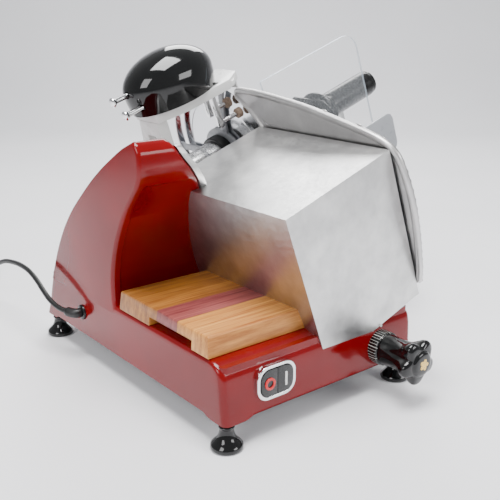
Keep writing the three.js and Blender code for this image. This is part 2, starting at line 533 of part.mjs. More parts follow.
function pusher() {
  const plate = facing(outline([[-98, -116], [4, -116], [4, 20], [-14, 34], [-80, 34], [-98, 20]]), 138, 143);
  const hub = solid(new THREE.SphereGeometry(1, 20, 10).scale(11, 38, 27).translate(148, -57, 14));
  const bush = solid(alongX(rod(11, 141, 168)).translate(0, ...pusherRodAt));
  const teeth = [];
  for (let y = -84; y < -10; y += 24) {
    for (let s = -100; s < 0; s += 24) teeth.push(solid(alongX(new THREE.CylinderGeometry(0.6, 2.4, 6, 6).rotateX(-Math.PI / 2)).translate(135.2, y, s)));
  }
  return cut(join(plate, hub, bush, ...teeth), solid(alongX(rod(6.3, 100, 200)).translate(0, ...pusherRodAt)),
    solid(alongX(rod(handleRadius + gap, 150 - gap, 200)).translate(0, ...handleAt)));
}
addTilted('pusher', pusher(), blackPlastic);
addTilted('pusher_handle', alongX(turned([[0, 150], [handleRadius - 3, 150], [handleRadius, 153], [handleRadius, 240], [17.5, 247], [12, 250], [0, 250]], 32))
  .translate(0, ...handleAt), blackPlastic);

// ---------- power cord ----------
const onWall = (geometry) => alongX(geometry).translate(0, ...glandAt);
add('cable_gland', onWall(turned([[4.2, -3], [9, -3], [10, -2], [10, -gap], [6, -gap], [6, 12], [4.2, 12], [4.2, -3]], 28)), blackPlastic);
add('strain_relief', tube([[-4.4, 312, 62], [-8.8, 312.8, 62], [-12.6, 317.6, 62.2], [-15.6, 323.6, 62.8]], 6.5, 8, 14), blackRubber);
const cordRoute = [
  [-15.9, 324.3, 63], [-20.2, 334, 64.6], [-23, 346, 67.5], [-24.3, 360, 72], [-23.5, 380, 79], [-21.5, 402, 86], [-20, 430, 92],
  [-20.5, 460, 93], [-23, 490, 89.5], [-27.5, 515, 83.5], [-32, 545, 72], [-34, 575, 57], [-30, 605, 40], [-20, 632, 25],
  [-4, 656, 13], [14, 674, 6.5], [25, 686, 4.4], [31, 698, 3.7]];
add('power_cord', tube(cordRoute, cordRadius, 52, 8), blackRubber);
add('cord_coil', ring(28, 49.5, 0, 14, 48).translate(...coilAt, 0), blackRubber);
add('plug', join(
  solid(tube([[-63.6, 735, 3.6], [-66, 715, 3.6], [-72, 698, 4.5], [-72, 688, 6]], cordRadius, 12, 8)),
  solid(slab(roundedRect(24, 18, 6), 34).rotateX(Math.PI / 2).translate(-72, 694.4, 9.2)),
  ...[-6, 6].map((x) => solid(alongY(rod(2.2, 641, 661, 16)).translate(-72 + x, 0, 9.2)))), blackPlastic);

// ---------- origin under the middle of the machine ----------
const cordNames = ['power_cord', 'cord_coil', 'cord_tail', 'plug', 'strain_relief', 'cable_gland'];
group.updateMatrixWorld(true);
const bounds = new THREE.Box3();
machine.traverse((item) => {
  if (item.isMesh && !cordNames.includes(item.name)) bounds.expandByObject(item, true);
});
const middle = bounds.getCenter(V3(0, 0, 0));
machine.position.set(-middle.x, -middle.y, -bounds.min.z);
export default group;
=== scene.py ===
import bpy
import bmesh
import math
import numpy as np
from mathutils import Matrix, Vector


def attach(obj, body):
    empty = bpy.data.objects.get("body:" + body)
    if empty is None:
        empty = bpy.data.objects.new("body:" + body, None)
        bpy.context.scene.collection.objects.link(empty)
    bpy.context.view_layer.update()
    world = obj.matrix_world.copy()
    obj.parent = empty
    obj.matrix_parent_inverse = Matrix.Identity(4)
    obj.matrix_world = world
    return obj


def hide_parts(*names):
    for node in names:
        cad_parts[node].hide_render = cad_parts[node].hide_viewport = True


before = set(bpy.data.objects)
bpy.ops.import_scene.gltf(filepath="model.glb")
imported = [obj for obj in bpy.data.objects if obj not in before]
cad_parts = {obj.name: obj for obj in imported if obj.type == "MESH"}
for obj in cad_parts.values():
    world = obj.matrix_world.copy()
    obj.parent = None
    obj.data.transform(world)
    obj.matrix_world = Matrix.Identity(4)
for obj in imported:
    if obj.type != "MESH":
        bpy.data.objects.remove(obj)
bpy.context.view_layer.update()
print("frame loaded")

# The machine's own axes: millimetres, X from the left wall, Y from the front face, Z from the table.
layout = {
    "middle": (243.776, 194.979, 0.0),
    "bladeTilt": 20.0,
    "bladeAxis": (255.5, 335.0, 235.4),
    "knobAt": (237.0, 54.0),
    "switchAt": (70.5, 62.0),
    "boardTop": 120.0,
    "rimHeight": 96.0,
}
tiltCos = math.cos(math.radians(layout["bladeTilt"]))
tiltSin = math.sin(math.radians(layout["bladeTilt"]))


def inBase(points):
    return (np.asarray(points, float) - np.array(layout["middle"])) / 1000.0


def inCutting(points):
    # d along the blade axis, y from the axis, s up the blade plane
    p = np.asarray(points, float).reshape(-1, 3)
    x, y, z = layout["bladeAxis"]
    moved = np.stack([x + p[:, 0] * tiltCos - p[:, 2] * tiltSin, y + p[:, 1],
                      z + p[:, 0] * tiltSin + p[:, 2] * tiltCos], axis=1)
    return inBase(moved)


# camera
cameraPlan = {"eye": (-432.2, -583.0, 448.0), "azimuth": -38.63, "elevation": 17.25, "roll": -0.12, "lens": 56.69}


def makeCamera(plan):
    a, e, r = (math.radians(plan[k]) for k in ("azimuth", "elevation", "roll"))
    back = Vector((math.sin(a) * math.cos(e), -math.cos(a) * math.cos(e), math.sin(e)))
    right = Vector((0, 0, 1)).cross(back).normalized()
    up = back.cross(right)
    turnedRight = right * math.cos(r) + up * math.sin(r)
    turnedUp = up * math.cos(r) - right * math.sin(r)
    data = bpy.data.cameras.new("slicerCamera")
    data.lens = plan["lens"]
    data.sensor_width = 36
    data.clip_start = 0.02
    camera = bpy.data.objects.new("slicerCamera", data)
    camera.matrix_world = Matrix.Translation(inBase(plan["eye"])) @ Matrix(
        (turnedRight, turnedUp, back)).transposed().to_4x4()
    bpy.context.scene.collection.objects.link(camera)
    bpy.context.scene.camera = camera


makeCamera(cameraPlan)


# finishes
class Wire:
    # a node's output that takes part in plain arithmetic
    def __init__(self, finish, socket):
        self.finish = finish
        self.socket = socket

    def joined(self, operation, first, second):
        return self.finish.node("ShaderNodeMath", {"operation": operation}, {0: first, 1: second})

    def __add__(self, other):
        return self.joined("ADD", self, other)

    __radd__ = __add__

    def __mul__(self, other):
        return self.joined("MULTIPLY", self, other)

    __rmul__ = __mul__

    def __sub__(self, other):
        return self.joined("SUBTRACT", self, other)

    def __rsub__(self, other):
        return self.joined("SUBTRACT", other, self)

    def __truediv__(self, other):
        return self.joined("DIVIDE", self, other)

    def __pow__(self, other):
        return self.joined("POWER", self, other)

    def __gt__(self, other):
        return self.joined("GREATER_THAN", self, other)

    def __lt__(self, other):
        return self.joined("LESS_THAN", self, other)

    def __abs__(self):
        return self.joined("ABSOLUTE", self, 0.0)


class Finish:
    def __init__(self, name, colour, roughness, metallic=0.0, **steady):
        self.material = bpy.data.materials.new(name)
        self.material.use_nodes = True
        self.tree = self.material.node_tree
        self.shader = self.tree.nodes["Principled BSDF"]
        self.steady("Base Color", (*colour, 1))
        self.steady("Roughness", roughness)
        self.steady("Metallic", metallic)
        for key, value in steady.items():
            self.steady(key.replace("_", " "), value)
        self.material.diffuse_color = (*colour, 1)

    def steady(self, socket, value):
        self.shader.inputs[socket].default_value = value

    def node(self, kind, settings=None, links=None, output=0):
        made = self.tree.nodes.new(kind)
        for key, value in (settings or {}).items():
            if key == "stops":
                ramp = made.color_ramp
                while len(ramp.elements) < len(value):
                    ramp.elements.new(0.5)
                for element, (place, colour) in zip(ramp.elements, value):
                    element.position = place
                    element.color = (*colour, 1)
            else:
                setattr(made, key, value)
        for key, value in (links or {}).items():
            if isinstance(value, Wire):
                self.tree.links.new(value.socket, made.inputs[key])
            else:
                made.inputs[key].default_value = value
        return Wire(self, made.outputs[output])

    def feed(self, socket, wire):
        self.tree.links.new(wire.socket, self.shader.inputs[socket])
        return self

    def place(self, scale=(1, 1, 1), turn=(0, 0, 0), move=(0, 0, 0)):
        where = self.node("ShaderNodeTexCoord", output=3)
        return self.node("ShaderNodeMapping", {"vector_type": "POINT"},
                         {"Vector": where, "Scale": scale, "Rotation": turn, "Location": move})

    def axes(self, vector):
        made = self.tree.nodes.new("ShaderNodeSeparateXYZ")
        self.tree.links.new(vector.socket, made.inputs[0])
        return [Wire(self, out) for out in made.outputs]

    def noise(self, size, detail=3.0, vector=None, rough=0.55):
        # size is the pattern's grain in metres
        return self.node("ShaderNodeTexNoise", {}, {
            "Vector": vector or self.place(), "Scale": 1.0 / size, "Detail": detail, "Roughness": rough})

    def band(self, wire, low, high, toLow, toHigh):
        return self.node("ShaderNodeMapRange", {"clamp": True}, {
            "Value": wire, "From Min": low, "From Max": high, "To Min": toLow, "To Max": toHigh})

    def mix(self, factor, first, second):
        made = self.tree.nodes.new("ShaderNodeMix")
        made.data_type = "RGBA"
        for index, value in ((0, factor), (6, first), (7, second)):
            if isinstance(value, Wire):
                self.tree.links.new(value.socket, made.inputs[index])
            else:
                made.inputs[index].default_value = value if index == 0 else (*value, 1)
        return Wire(self, made.outputs[2])

    def bump(self, height, distance, strength=1.0):
        return self.feed("Normal", self.node("ShaderNodeBump", {}, {
            "Height": height, "Distance": distance, "Strength": strength}))


def enamel(name, deep, bright, peel=0.00002, rough=(0.12, 0.2), coat=0.3):
    made = Finish(name, deep, 0.16, 0.0, Coat_Weight=coat, Coat_Roughness=0.04, Specular_IOR_Level=0.2)
    cloud = made.noise(0.09, 2.0)
    made.feed("Base Color", made.mix(made.band(cloud, 0.35, 0.65, 0, 1), deep, bright))
    made.feed("Roughness", made.band(made.noise(0.012, 4.0), 0.3, 0.75, *rough))
    return made.bump(made.noise(0.0022, 2.0), peel, 0.6)


def castMetal(name, dark, light, grain=0.0009, rough=(0.34, 0.5), depth=0.00005):
    made = Finish(name, light, 0.4, 1.0)
    made.feed("Base Color", made.mix(made.band(made.noise(0.03, 4.0), 0.3, 0.7, 0, 1), dark, light))
    made.feed("Roughness", made.band(made.noise(0.004, 3.0), 0.3, 0.7, *rough))
    return made.bump(made.noise(grain, 3.0), depth, 0.5)


def brushedMetal(name, dark, light, along, rough=(0.22, 0.36), turn=(0, 0, 0), depth=0.00001):
    # along: how far a brush mark is stretched on each axis
    made = Finish(name, light, 0.3, 1.0)
    marks = made.noise(0.0006, 2.0, made.place(along, turn))
    made.feed("Base Color", made.mix(made.band(marks, 0.3, 0.7, 0, 1), dark, light))
    made.feed("Roughness", made.band(marks, 0.3, 0.7, *rough))
    return made.bump(marks, depth, 0.4)


def mouldedBlack(name, colour, rough=(0.1, 0.2), grain=0.002, depth=0.00001, coat=0.5):
    made = Finish(name, colour, 0.15, 0.0, Coat_Weight=coat, Coat_Roughness=0.04, Specular_IOR_Level=0.3)
    lighter = tuple(c * 1.4 + 0.001 for c in colour)
    made.feed("Base Color", made.mix(made.band(made.noise(0.02, 3.0), 0.3, 0.7, 0, 1), colour, lighter))
    made.feed("Roughness", made.band(made.noise(0.006, 4.0), 0.3, 0.7, *rough))
    return made.bump(made.noise(grain, 2.0), depth, 0.5)


def groundSteel(name, centre):
    # fine rings left by grinding, round the blade's axis
    made = Finish(name, (0.75, 0.76, 0.78), 0.1, 1.0)
    tilt = (0, math.radians(layout["bladeTilt"]), 0)
    moved = made.node("ShaderNodeVectorMath", {"operation": "SUBTRACT"},
                      {0: made.place(), 1: tuple(centre)})
    flat = made.node("ShaderNodeMapping", {"vector_type": "POINT"}, {"Vector": moved, "Rotation": tilt})
    x, y, z = made.axes(flat)
    reach = (y * y + z * z) ** 0.5
    rings = made.node("ShaderNodeTexNoise", {"noise_dimensions": "1D"}, {"W": reach * 2600.0, "Detail": 3.0})
    made.feed("Base Color", made.mix(rings, (0.62, 0.63, 0.65), (0.82, 0.83, 0.85)))
    made.feed("Roughness", made.band(rings, 0.3, 0.7, 0.07, 0.17))
    return made


def boardWood(name):
    plan = {"stripeFront": 88.0, "stripeRear": 129.0, "emblem": (146.0, 53.0), "ring": (14.6, 17.0)}
    made = Finish(name, (0.45, 0.22, 0.07), 0.42, 0.0, IOR=1.45, Coat_Weight=0.15, Coat_Roughness=0.25)
    x, y, z = made.axes(made.place())
    grain = made.noise(0.0035, 6.0, made.place((0.035, 1, 0.25)), 0.6)
    fine = made.noise(0.0008, 4.0, made.place((0.02, 1, 0.3)), 0.7)
    wide = made.noise(0.03, 2.0, made.place((0.12, 1, 0.5)))
    tone = made.band(grain * 0.65 + fine * 0.3 + wide * 0.25, 0.46, 0.74, 0, 1)
    golden = made.mix(tone, (0.30, 0.085, 0.010), (0.70, 0.33, 0.075))
    plum = made.mix(tone, (0.12, 0.016, 0.018), (0.33, 0.085, 0.075))
    brown = made.mix(tone, (0.15, 0.040, 0.004), (0.46, 0.19, 0.035))
    front = (plan["stripeFront"] - layout["middle"][1]) / 1000
    rear = (plan["stripeRear"] - layout["middle"][1]) / 1000
    colour = made.mix(y > front, golden, plum)
    colour = made.mix(y > rear, colour, brown)
    joint = (abs(y - front) < 0.00035) + (abs(y - rear) < 0.00035)
    colour = made.mix(joint * 0.6, colour, (0.08, 0.03, 0.015))
    # burnt mark: two rings and a star of petals
    cx = (plan["emblem"][0] - layout["middle"][0]) / 1000
    cy = (plan["emblem"][1] - layout["middle"][1]) / 1000
    dx, dy = x - cx, y - cy
    reach = (dx * dx + dy * dy) ** 0.5 * 1000.0
    angle = made.node("ShaderNodeMath", {"operation": "ARCTAN2"}, {0: dy, 1: dx})
    petal = made.node("ShaderNodeMath", {"operation": "SINE"}, {0: angle * 6.0})
    ringMark = (abs(reach - 16.2) < 0.7) + (abs(reach - 10.2) < 0.35)
    dots = (made.node("ShaderNodeMath", {"operation": "SINE"}, {0: angle * 22.0}) > 0.2) * (abs(reach - 13.1) < 1.1)
    star = (reach < petal * 2.6 + 5.6) * (reach > 1.6)
    onTop = z > (layout["boardTop"] - 1.2) / 1000
    colour = made.mix((ringMark + dots + star) * onTop * 0.86, colour, (0.022, 0.012, 0.008))
    made.feed("Base Color", colour)
    made.feed("Roughness", made.band(fine, 0.3, 0.7, 0.34, 0.52))
    return made.bump(grain * 0.6 + fine * 0.4, 0.00012, 0.35)


def marked(name, base, mark, threshold):
    # a switch half whose raised mark, nearer the operator than the threshold, has its own colour
    made = mouldedBlack(name, base, (0.2, 0.32))
    y = made.axes(made.place())[1]
    raised = y < (threshold - layout["middle"][1]) / 1000
    grain = made.band(made.noise(0.003, 3.0), 0.3, 0.7, 0.85, 1.1)
    made.feed("Base Color", made.mix(raised * grain, base, mark))
    return made


def dialFinish(name):
    made = mouldedBlack(name, (0.012, 0.013, 0.014), (0.2, 0.3))
    x, y, z = made.axes(made.place())
    dx = x - (layout["knobAt"][0] - layout["middle"][0]) / 1000
    dz = z - layout["knobAt"][1] / 1000
    angle = made.node("ShaderNodeMath", {"operation": "ARCTAN2"}, {0: dz, 1: dx})
    reach = (dx * dx + dz * dz) ** 0.5 * 1000.0
    minor = (made.node("ShaderNodeMath", {"operation": "COSINE"}, {0: angle * 36.0}) > 0.94) * (reach > 20.4)
    major = (made.node("ShaderNodeMath", {"operation": "COSINE"}, {0: angle * 9.0}) > 0.985) * (reach > 19.2)
    return made.feed("Base Color", made.mix((minor + major > 0.5) * 0.8, (0.002, 0.002, 0.002), (0.6, 0.6, 0.56)))


def clearSheet(name, tint, opacity, rough=0.03):
    made = Finish(name, tint, rough, 0.0, IOR=1.49, Coat_Weight=0.1, Coat_Roughness=0.02)
    made.feed("Alpha", made.band(made.noise(0.05, 3.0), 0.3, 0.7, opacity * 0.85, opacity * 1.15))
    made.feed("Roughness", made.band(made.noise(0.01, 4.0), 0.3, 0.7, rough, rough + 0.05))
    return made


def gritty(name, dark, light, grain, rough=(0.75, 0.95), depth=0.0002):
    made = Finish(name, light, 0.85, 0.0)
    speck = made.noise(grain, 4.0)
    made.feed("Base Color", made.mix(made.band(speck, 0.35, 0.65, 0, 1), dark, light))
    made.feed("Roughness", made.band(speck, 0.3, 0.7, *rough))
    return made.bump(speck, depth, 0.6)


axisPlace = inBase(layout["bladeAxis"])
finishes = {
    "redEnamel": enamel("redEnamel", (0.15, 0.0001, 0.0012), (0.19, 0.0003, 0.002)),
    "whiteEnamel": enamel("whiteEnamel", (0.62, 0.62, 0.61), (0.74, 0.74, 0.73), 0.00004, (0.25, 0.38)),
    "greyEnamel": enamel("greyEnamel", (0.30, 0.31, 0.33), (0.38, 0.39, 0.41), 0.00003, (0.24, 0.36)),
    "castAluminium": castMetal("castAluminium", (0.50, 0.50, 0.50), (0.68, 0.68, 0.67)),
    "footAluminium": castMetal("footAluminium", (0.52, 0.52, 0.52), (0.72, 0.72, 0.71), 0.0006, (0.3, 0.42), 0.00003),
    "polishedAluminium": castMetal("polishedAluminium", (0.70, 0.70, 0.70), (0.82, 0.82, 0.81), 0.004, (0.14, 0.26),
                                   0.00002),
    "gaugeAluminium": castMetal("gaugeAluminium", (0.50, 0.49, 0.49), (0.62, 0.61, 0.605), 0.0005, (0.36, 0.46),
                                0.00002),
    "neckAluminium": castMetal("neckAluminium", (0.66, 0.66, 0.67), (0.76, 0.76, 0.76), 0.0004, (0.25, 0.31),
                               0.000003),
    "chrome": brushedMetal("chrome", (0.78, 0.78, 0.79), (0.86, 0.86, 0.87), (0.3, 0.3, 0.3), (0.04, 0.1)),
    "bladeSteel": groundSteel("bladeSteel", axisPlace),
    "plainSteel": brushedMetal("plainSteel", (0.28, 0.285, 0.29), (0.42, 0.425, 0.43), (0.05, 1, 1), (0.32, 0.46)),
    "blackGloss": mouldedBlack("blackGloss", (0.0012, 0.0014, 0.0015), (0.05, 0.11), coat=0.45),
    "blackSatin": mouldedBlack("blackSatin", (0.004, 0.0043, 0.0046), (0.2, 0.34), 0.0012, 0.00003, 0.1),
    "softRubber": gritty("softRubber", (0.003, 0.003, 0.003), (0.006, 0.006, 0.0064), 0.0012, (0.34, 0.5), 0.00002),
    "beltRubber": gritty("beltRubber", (0.015, 0.015, 0.015), (0.03, 0.03, 0.03), 0.002, (0.6, 0.8), 0.0001),
    "stone": gritty("stone", (0.20, 0.13, 0.09), (0.42, 0.31, 0.23), 0.0009),
    "brass": brushedMetal("brass", (0.55, 0.36, 0.12), (0.74, 0.54, 0.22), (0.3, 1, 0.3), (0.2, 0.34)),
    "gold": brushedMetal("gold", (0.62, 0.40, 0.12), (0.80, 0.56, 0.20), (0.4, 0.4, 0.4), (0.22, 0.36)),
    "boardWood": boardWood("boardWood"),
    "clearSheet": clearSheet("clearSheet", (0.86, 0.90, 0.94), 0.07),
    "clearEdge": clearSheet("clearEdge", (0.62, 0.72, 0.82), 0.62, 0.08),
    "switchOff": marked("switchOff", (0.01, 0.01, 0.011), (0.62, 0.01, 0.012), -1.9),
    "switchOn": marked("switchOn", (0.01, 0.01, 0.011), (0.75, 0.75, 0.74), -1.9),
    "dial": dialFinish("dial"),
    "floorPaper": gritty("floorPaper", (0.86, 0.86, 0.885), (0.89, 0.89, 0.91), 0.4, (0.6, 0.7), 0.0),
}
print("finishes made")


# mesh helpers
def smoothSides(mesh, angle=32.0):
    mesh.shade_smooth()
    mesh.set_sharp_from_angle(angle=math.radians(angle))


def meshOf(name, points, faces, place=inBase):
    mesh = bpy.data.meshes.new(name)
    mesh.from_pydata([tuple(p) for p in place(points)], [], faces)
    mesh.validate()
    return mesh


def tidied(mesh, doubles=1e-6):
    work = bmesh.new()
    work.from_mesh(mesh)
    bmesh.ops.remove_doubles(work, verts=work.verts, dist=doubles)
    bmesh.ops.recalc_face_normals(work, faces=work.faces)
    work.to_mesh(mesh)
    work.free()
    return mesh


def objectOf(mesh):
    made = bpy.data.objects.new(mesh.name, mesh)
    bpy.context.scene.collection.objects.link(made)
    return made


def baked(obj):
    # the modifiers' result as a plain mesh
    graph = bpy.context.evaluated_depsgraph_get()
    mesh = bpy.data.meshes.new_from_object(obj.evaluated_get(graph))
    obj.modifiers.clear()
    old = obj.data
    obj.data = mesh
    mesh.name = old.name
    bpy.data.meshes.remove(old)
    return obj


def bevelled(obj, width, segments=3, angle=30.0):
    bevel = obj.modifiers.new("edges", "BEVEL")
    bevel.width = width / 1000
    bevel.segments = segments
    bevel.limit_method = "ANGLE"
    bevel.angle_limit = math.radians(angle)
    bevel.harden_normals = False
    return baked(obj)


def cutWith(obj, tool, operation="DIFFERENCE"):
    change = obj.modifiers.new("cut", "BOOLEAN")
    change.operation = operation
    change.object = tool
    change.solver = "EXACT"
    baked(obj)
    data = tool.data
    bpy.data.objects.remove(tool)
    bpy.data.meshes.remove(data)
    return obj


def merged(name, objects):
    # several meshes made one; faces keep their slot numbers, but the new mesh gets no finish slots
    work = bmesh.new()
    for obj in objects:
        work.from_mesh(obj.data)
        data = obj.data
        bpy.data.objects.remove(obj)
        bpy.data.meshes.remove(data)
    mesh = bpy.data.meshes.new(name)
    work.to_mesh(mesh)
    work.free()
    return objectOf(mesh)


def finished(obj, name, finish, body, nodes=(), sharp=32.0):
    obj.name = name
    obj.data.name = name
    obj.data.materials.clear()
    obj.data.materials.append(finishes[finish].material)
    smoothSides(obj.data, sharp)
    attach(obj, body)
    if nodes:
        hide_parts(*nodes)
    return obj


def ringsMesh(name, rings, place=inBase, closeEnds=True):
    # walls between closed rings of equal length
    count = len(rings[0])
    points = np.concatenate([np.asarray(r, float) for r in rings])
    faces = []
    for k in range(len(rings) - 1):
        for i in range(count):
            j = (i + 1) % count
            faces.append((k * count + i, k * count + j, (k + 1) * count + j, (k + 1) * count + i))
    if closeEnds:
        faces.append(tuple(reversed(range(count))))
        faces.append(tuple((len(rings) - 1) * count + i for i in range(count)))
    return tidied(meshOf(name, points, faces, place))


def alongAxis(axis, centre, place):
    # maps (radius, height, angle) round an axis of the chosen frame
    a, b = centre

    def mapped(r, h, t):
        u, v = a + r * np.cos(t), b + r * np.sin(t)
        h = h + 0 * t
        return {"x": np.stack([h, u, v], 1), "y": np.stack([u, h, v], 1), "z": np.stack([u, v, h], 1)}[axis]
    return mapped, place


def lathe(name, profile, axis, centre, place=inBase, steps=72):
    mapped, place = alongAxis(axis, centre, place)
    t = np.linspace(0, 2 * math.pi, steps, endpoint=False)
    closed = profile[0] == profile[-1]
    pairs = profile[:-1] if closed else profile
    rings = [mapped(max(r, 1e-4), h, t) for r, h in pairs]
    points = np.concatenate(rings)
    faces = []
    spans = len(rings) if closed else len(rings) - 1
    for k in range(spans):
        n = (k + 1) % len(rings)
        for i in range(steps):
            j = (i + 1) % steps
            faces.append((k * steps + i, k * steps + j, n * steps + j, n * steps + i))
    if not closed:
        faces.append(tuple(reversed(range(steps))))
        faces.append(tuple((len(rings) - 1) * steps + i for i in range(steps)))
    return objectOf(tidied(meshOf(name, points, faces, place), 2e-6))


def roundedProfile(corners, radius, steps=4):
    # a closed [r, h] outline with its corners rounded
    out = []
    count = len(corners)
    for i in range(count):
        p, c, n = (np.array(corners[(i + k) % count], float) for k in (-1, 0, 1))
        a, b = p - c, n - c
        reach = min(radius, 0.45 * np.linalg.norm(a), 0.45 * np.linalg.norm(b))
        a, b = a / np.linalg.norm(a) * reach, b / np.linalg.norm(b) * reach
        for k in range(steps + 1):
            t = k / steps
            out.append(tuple(c + a * (1 - t) ** 2 + b * t ** 2))
    return out


def turnedRing(name, inner, outer, low, high, axis="x", centre=(0, 0), place=inCutting, edge=1.0, steps=96):
    profile = roundedProfile([(inner, low), (outer, low), (outer, high), (inner, high)], edge)
    return lathe(name, profile + [profile[0]], axis, centre, place, steps)


def prism(name, outline, axis, low, high, place=inBase):
    # outline in the two axes that are left, in X, Y, Z order
    flat = np.array(outline, float)
    ends = []
    for h in (low, high):
        column = np.full(len(flat), float(h))
        ends.append({"x": np.stack([column, flat[:, 0], flat[:, 1]], 1), "y": np.stack([flat[:, 0], column, flat[:, 1]], 1),
                     "z": np.stack([flat[:, 0], flat[:, 1], column], 1)}[axis])
    return objectOf(ringsMesh(name, ends, place))


def curveThrough(points, per=8, closed=False):
    # a smooth line through points
    p = np.array(points, float)
    count = len(p)
    out = []
    spans = count if closed else count - 1
    for i in range(spans):
        a = p[(i - 1) % count] if closed or i > 0 else 2 * p[0] - p[1]
        b, c = p[i], p[(i + 1) % count]
        d = p[(i + 2) % count] if closed or i + 2 < count else 2 * p[-1] - p[-2]
        for k in range(per):
            t = k / per
            out.append(0.5 * (2 * b + (c - a) * t + (2 * a - 5 * b + 4 * c - d) * t ** 2 + (3 * b - a - 3 * c + d) * t ** 3))
    if not closed:
        out.append(p[-1])
    return np.array(out)


def sweep(name, path, radius, place=inBase, sides=14):
    # a round bar along a path, with rounded ends
    p = np.array(path, float)
    tangent = np.gradient(p, axis=0)
    tangent /= np.linalg.norm(tangent, axis=1)[:, None]
    normal = np.cross(tangent[0], (0.3, 0.9, 0.1))
    rings = []
    radii = np.full(len(p), float(radius))
    centres = p
    ends = [(0.0, 0.05), (0.13, 0.5), (0.5, 0.86), (1.0, 1.0)]
    stops = [(p[0] - tangent[0] * radius * (1 - a) * 0.9, tangent[0], radius * b) for a, b in ends[:-1]]
    stops += [(c, t, r) for c, t, r in zip(centres, tangent, radii)]
    stops += [(p[-1] + tangent[-1] * radius * (1 - a) * 0.9, tangent[-1], radius * b) for a, b in reversed(ends[:-1])]
    angle = np.linspace(0, 2 * math.pi, sides, endpoint=False)
    for c, t, r in stops:
        normal = normal - t * normal.dot(t)
        normal /= np.linalg.norm(normal)
        side = np.cross(t, normal)
        rings.append(c + r * (np.cos(angle)[:, None] * normal + np.sin(angle)[:, None] * side))
    return objectOf(ringsMesh(name, rings, place))


def fromNode(node, width, segments=3, dissolve=2.0, angle=30.0):
    # a CAD node's shape with its edges rounded
    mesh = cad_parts[node].data.copy()
    work = bmesh.new()
    work.from_mesh(mesh)
    bmesh.ops.remove_doubles(work, verts=work.verts, dist=1e-6)
    bmesh.ops.dissolve_limit(work, angle_limit=math.radians(dissolve), verts=work.verts, edges=work.edges)
    work.to_mesh(mesh)
    work.free()
    mesh.materials.clear()
    made = objectOf(mesh)
    return bevelled(made, width, segments, angle) if width else made


def carried(node, finish):
    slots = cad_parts[node].material_slots
    for one in slots:
        one.material = finishes[finish].material


# cord and coil, run from the strain relief to the plug
cordPlan = {
    "radius": 3.5, "realLength": 1.8, "coilAt": (-10.0, 735.0), "coilRadius": (31.8, 38.9, 46.0),
    "route": [(-15.9, 324.3, 63), (-20.2, 334, 64.6), (-23, 346, 67.5), (-24.3, 360, 72), (-23.5, 380, 79),
              (-21.5, 402, 86), (-20, 430, 92), (-19.5, 460, 93), (-19.5, 490, 90), (-20.5, 520, 84), (-24, 548, 72),
              (-27, 577, 57), (-25, 606, 40), (-17, 632, 25), (-3, 656, 13), (14, 674, 6.5), (26, 690, 4.2),
              (33, 708, 3.6), (36, 728, 3.6)],
    "tail": [(-57, 727, 10.2), (-60, 718, 9.8), (-65.5, 708, 9.4), (-70, 700, 9.2), (-72, 694.8, 9.2)],
}


def cordPoints(plan):
    cx, cy = plan["coilAt"]
    points = [np.array(p, float) for p in curveThrough(plan["route"], 3)]
    inner, middleTurn, outer = plan["coilRadius"]
    turns = []
    for radius, height in ((outer, 3.6), (middleTurn, 3.6), (inner, 3.6), (inner, 10.6), (middleTurn, 10.6),
                           (outer, 10.6)):
        turns.append((radius, height))
    steps = 24
    start = 0.0
    line = []
    for k in range(1, int((len(turns) - 0.5) * steps) + 1):
        turn, part = divmod(k, steps)
        r0, h0 = turns[turn]
        r1, h1 = turns[min(turn + 1, len(turns) - 1)]
        t = max(0.0, (part / steps - 0.7) / 0.3)
        t = t * t * (3 - 2 * t)
        a = start + 2 * math.pi * k / steps
        line.append(np.array([cx + (r0 + (r1 - r0) * t) * math.cos(a), cy + (r0 + (r1 - r0) * t) * math.sin(a),
                              h0 + (h1 - h0) * t]))
    return points + line


cordLine = cordPoints(cordPlan)


def makeCord(plan):
    tail = [cordLine[-1], *[np.array(p, float) for p in plan["tail"]]]
    curve = bpy.data.curves.new("powerCord", "CURVE")
    curve.dimensions = "3D"
    curve.bevel_depth = plan["radius"] / 1000
    curve.bevel_resolution = 4
    curve.use_fill_caps = True
    spline = curve.splines.new("POLY")
    points = inBase(np.array([*cordLine, *curveThrough(tail, 4)[1:]]))
    spline.points.add(len(points) - 1)
    for one, p in zip(spline.points, points):
        one.co = (*p, 1)
    cord = bpy.data.objects.new("powerCord", curve)
    bpy.context.scene.collection.objects.link(cord)
    curve.materials.append(finishes["softRubber"].material)
    total = np.linalg.norm(np.diff(points, axis=0), axis=1).sum()
    print("cord length", round(float(total), 3))
    return cord, float(total)


cord, cordLength = makeCord(cordPlan)
print("cord laid")

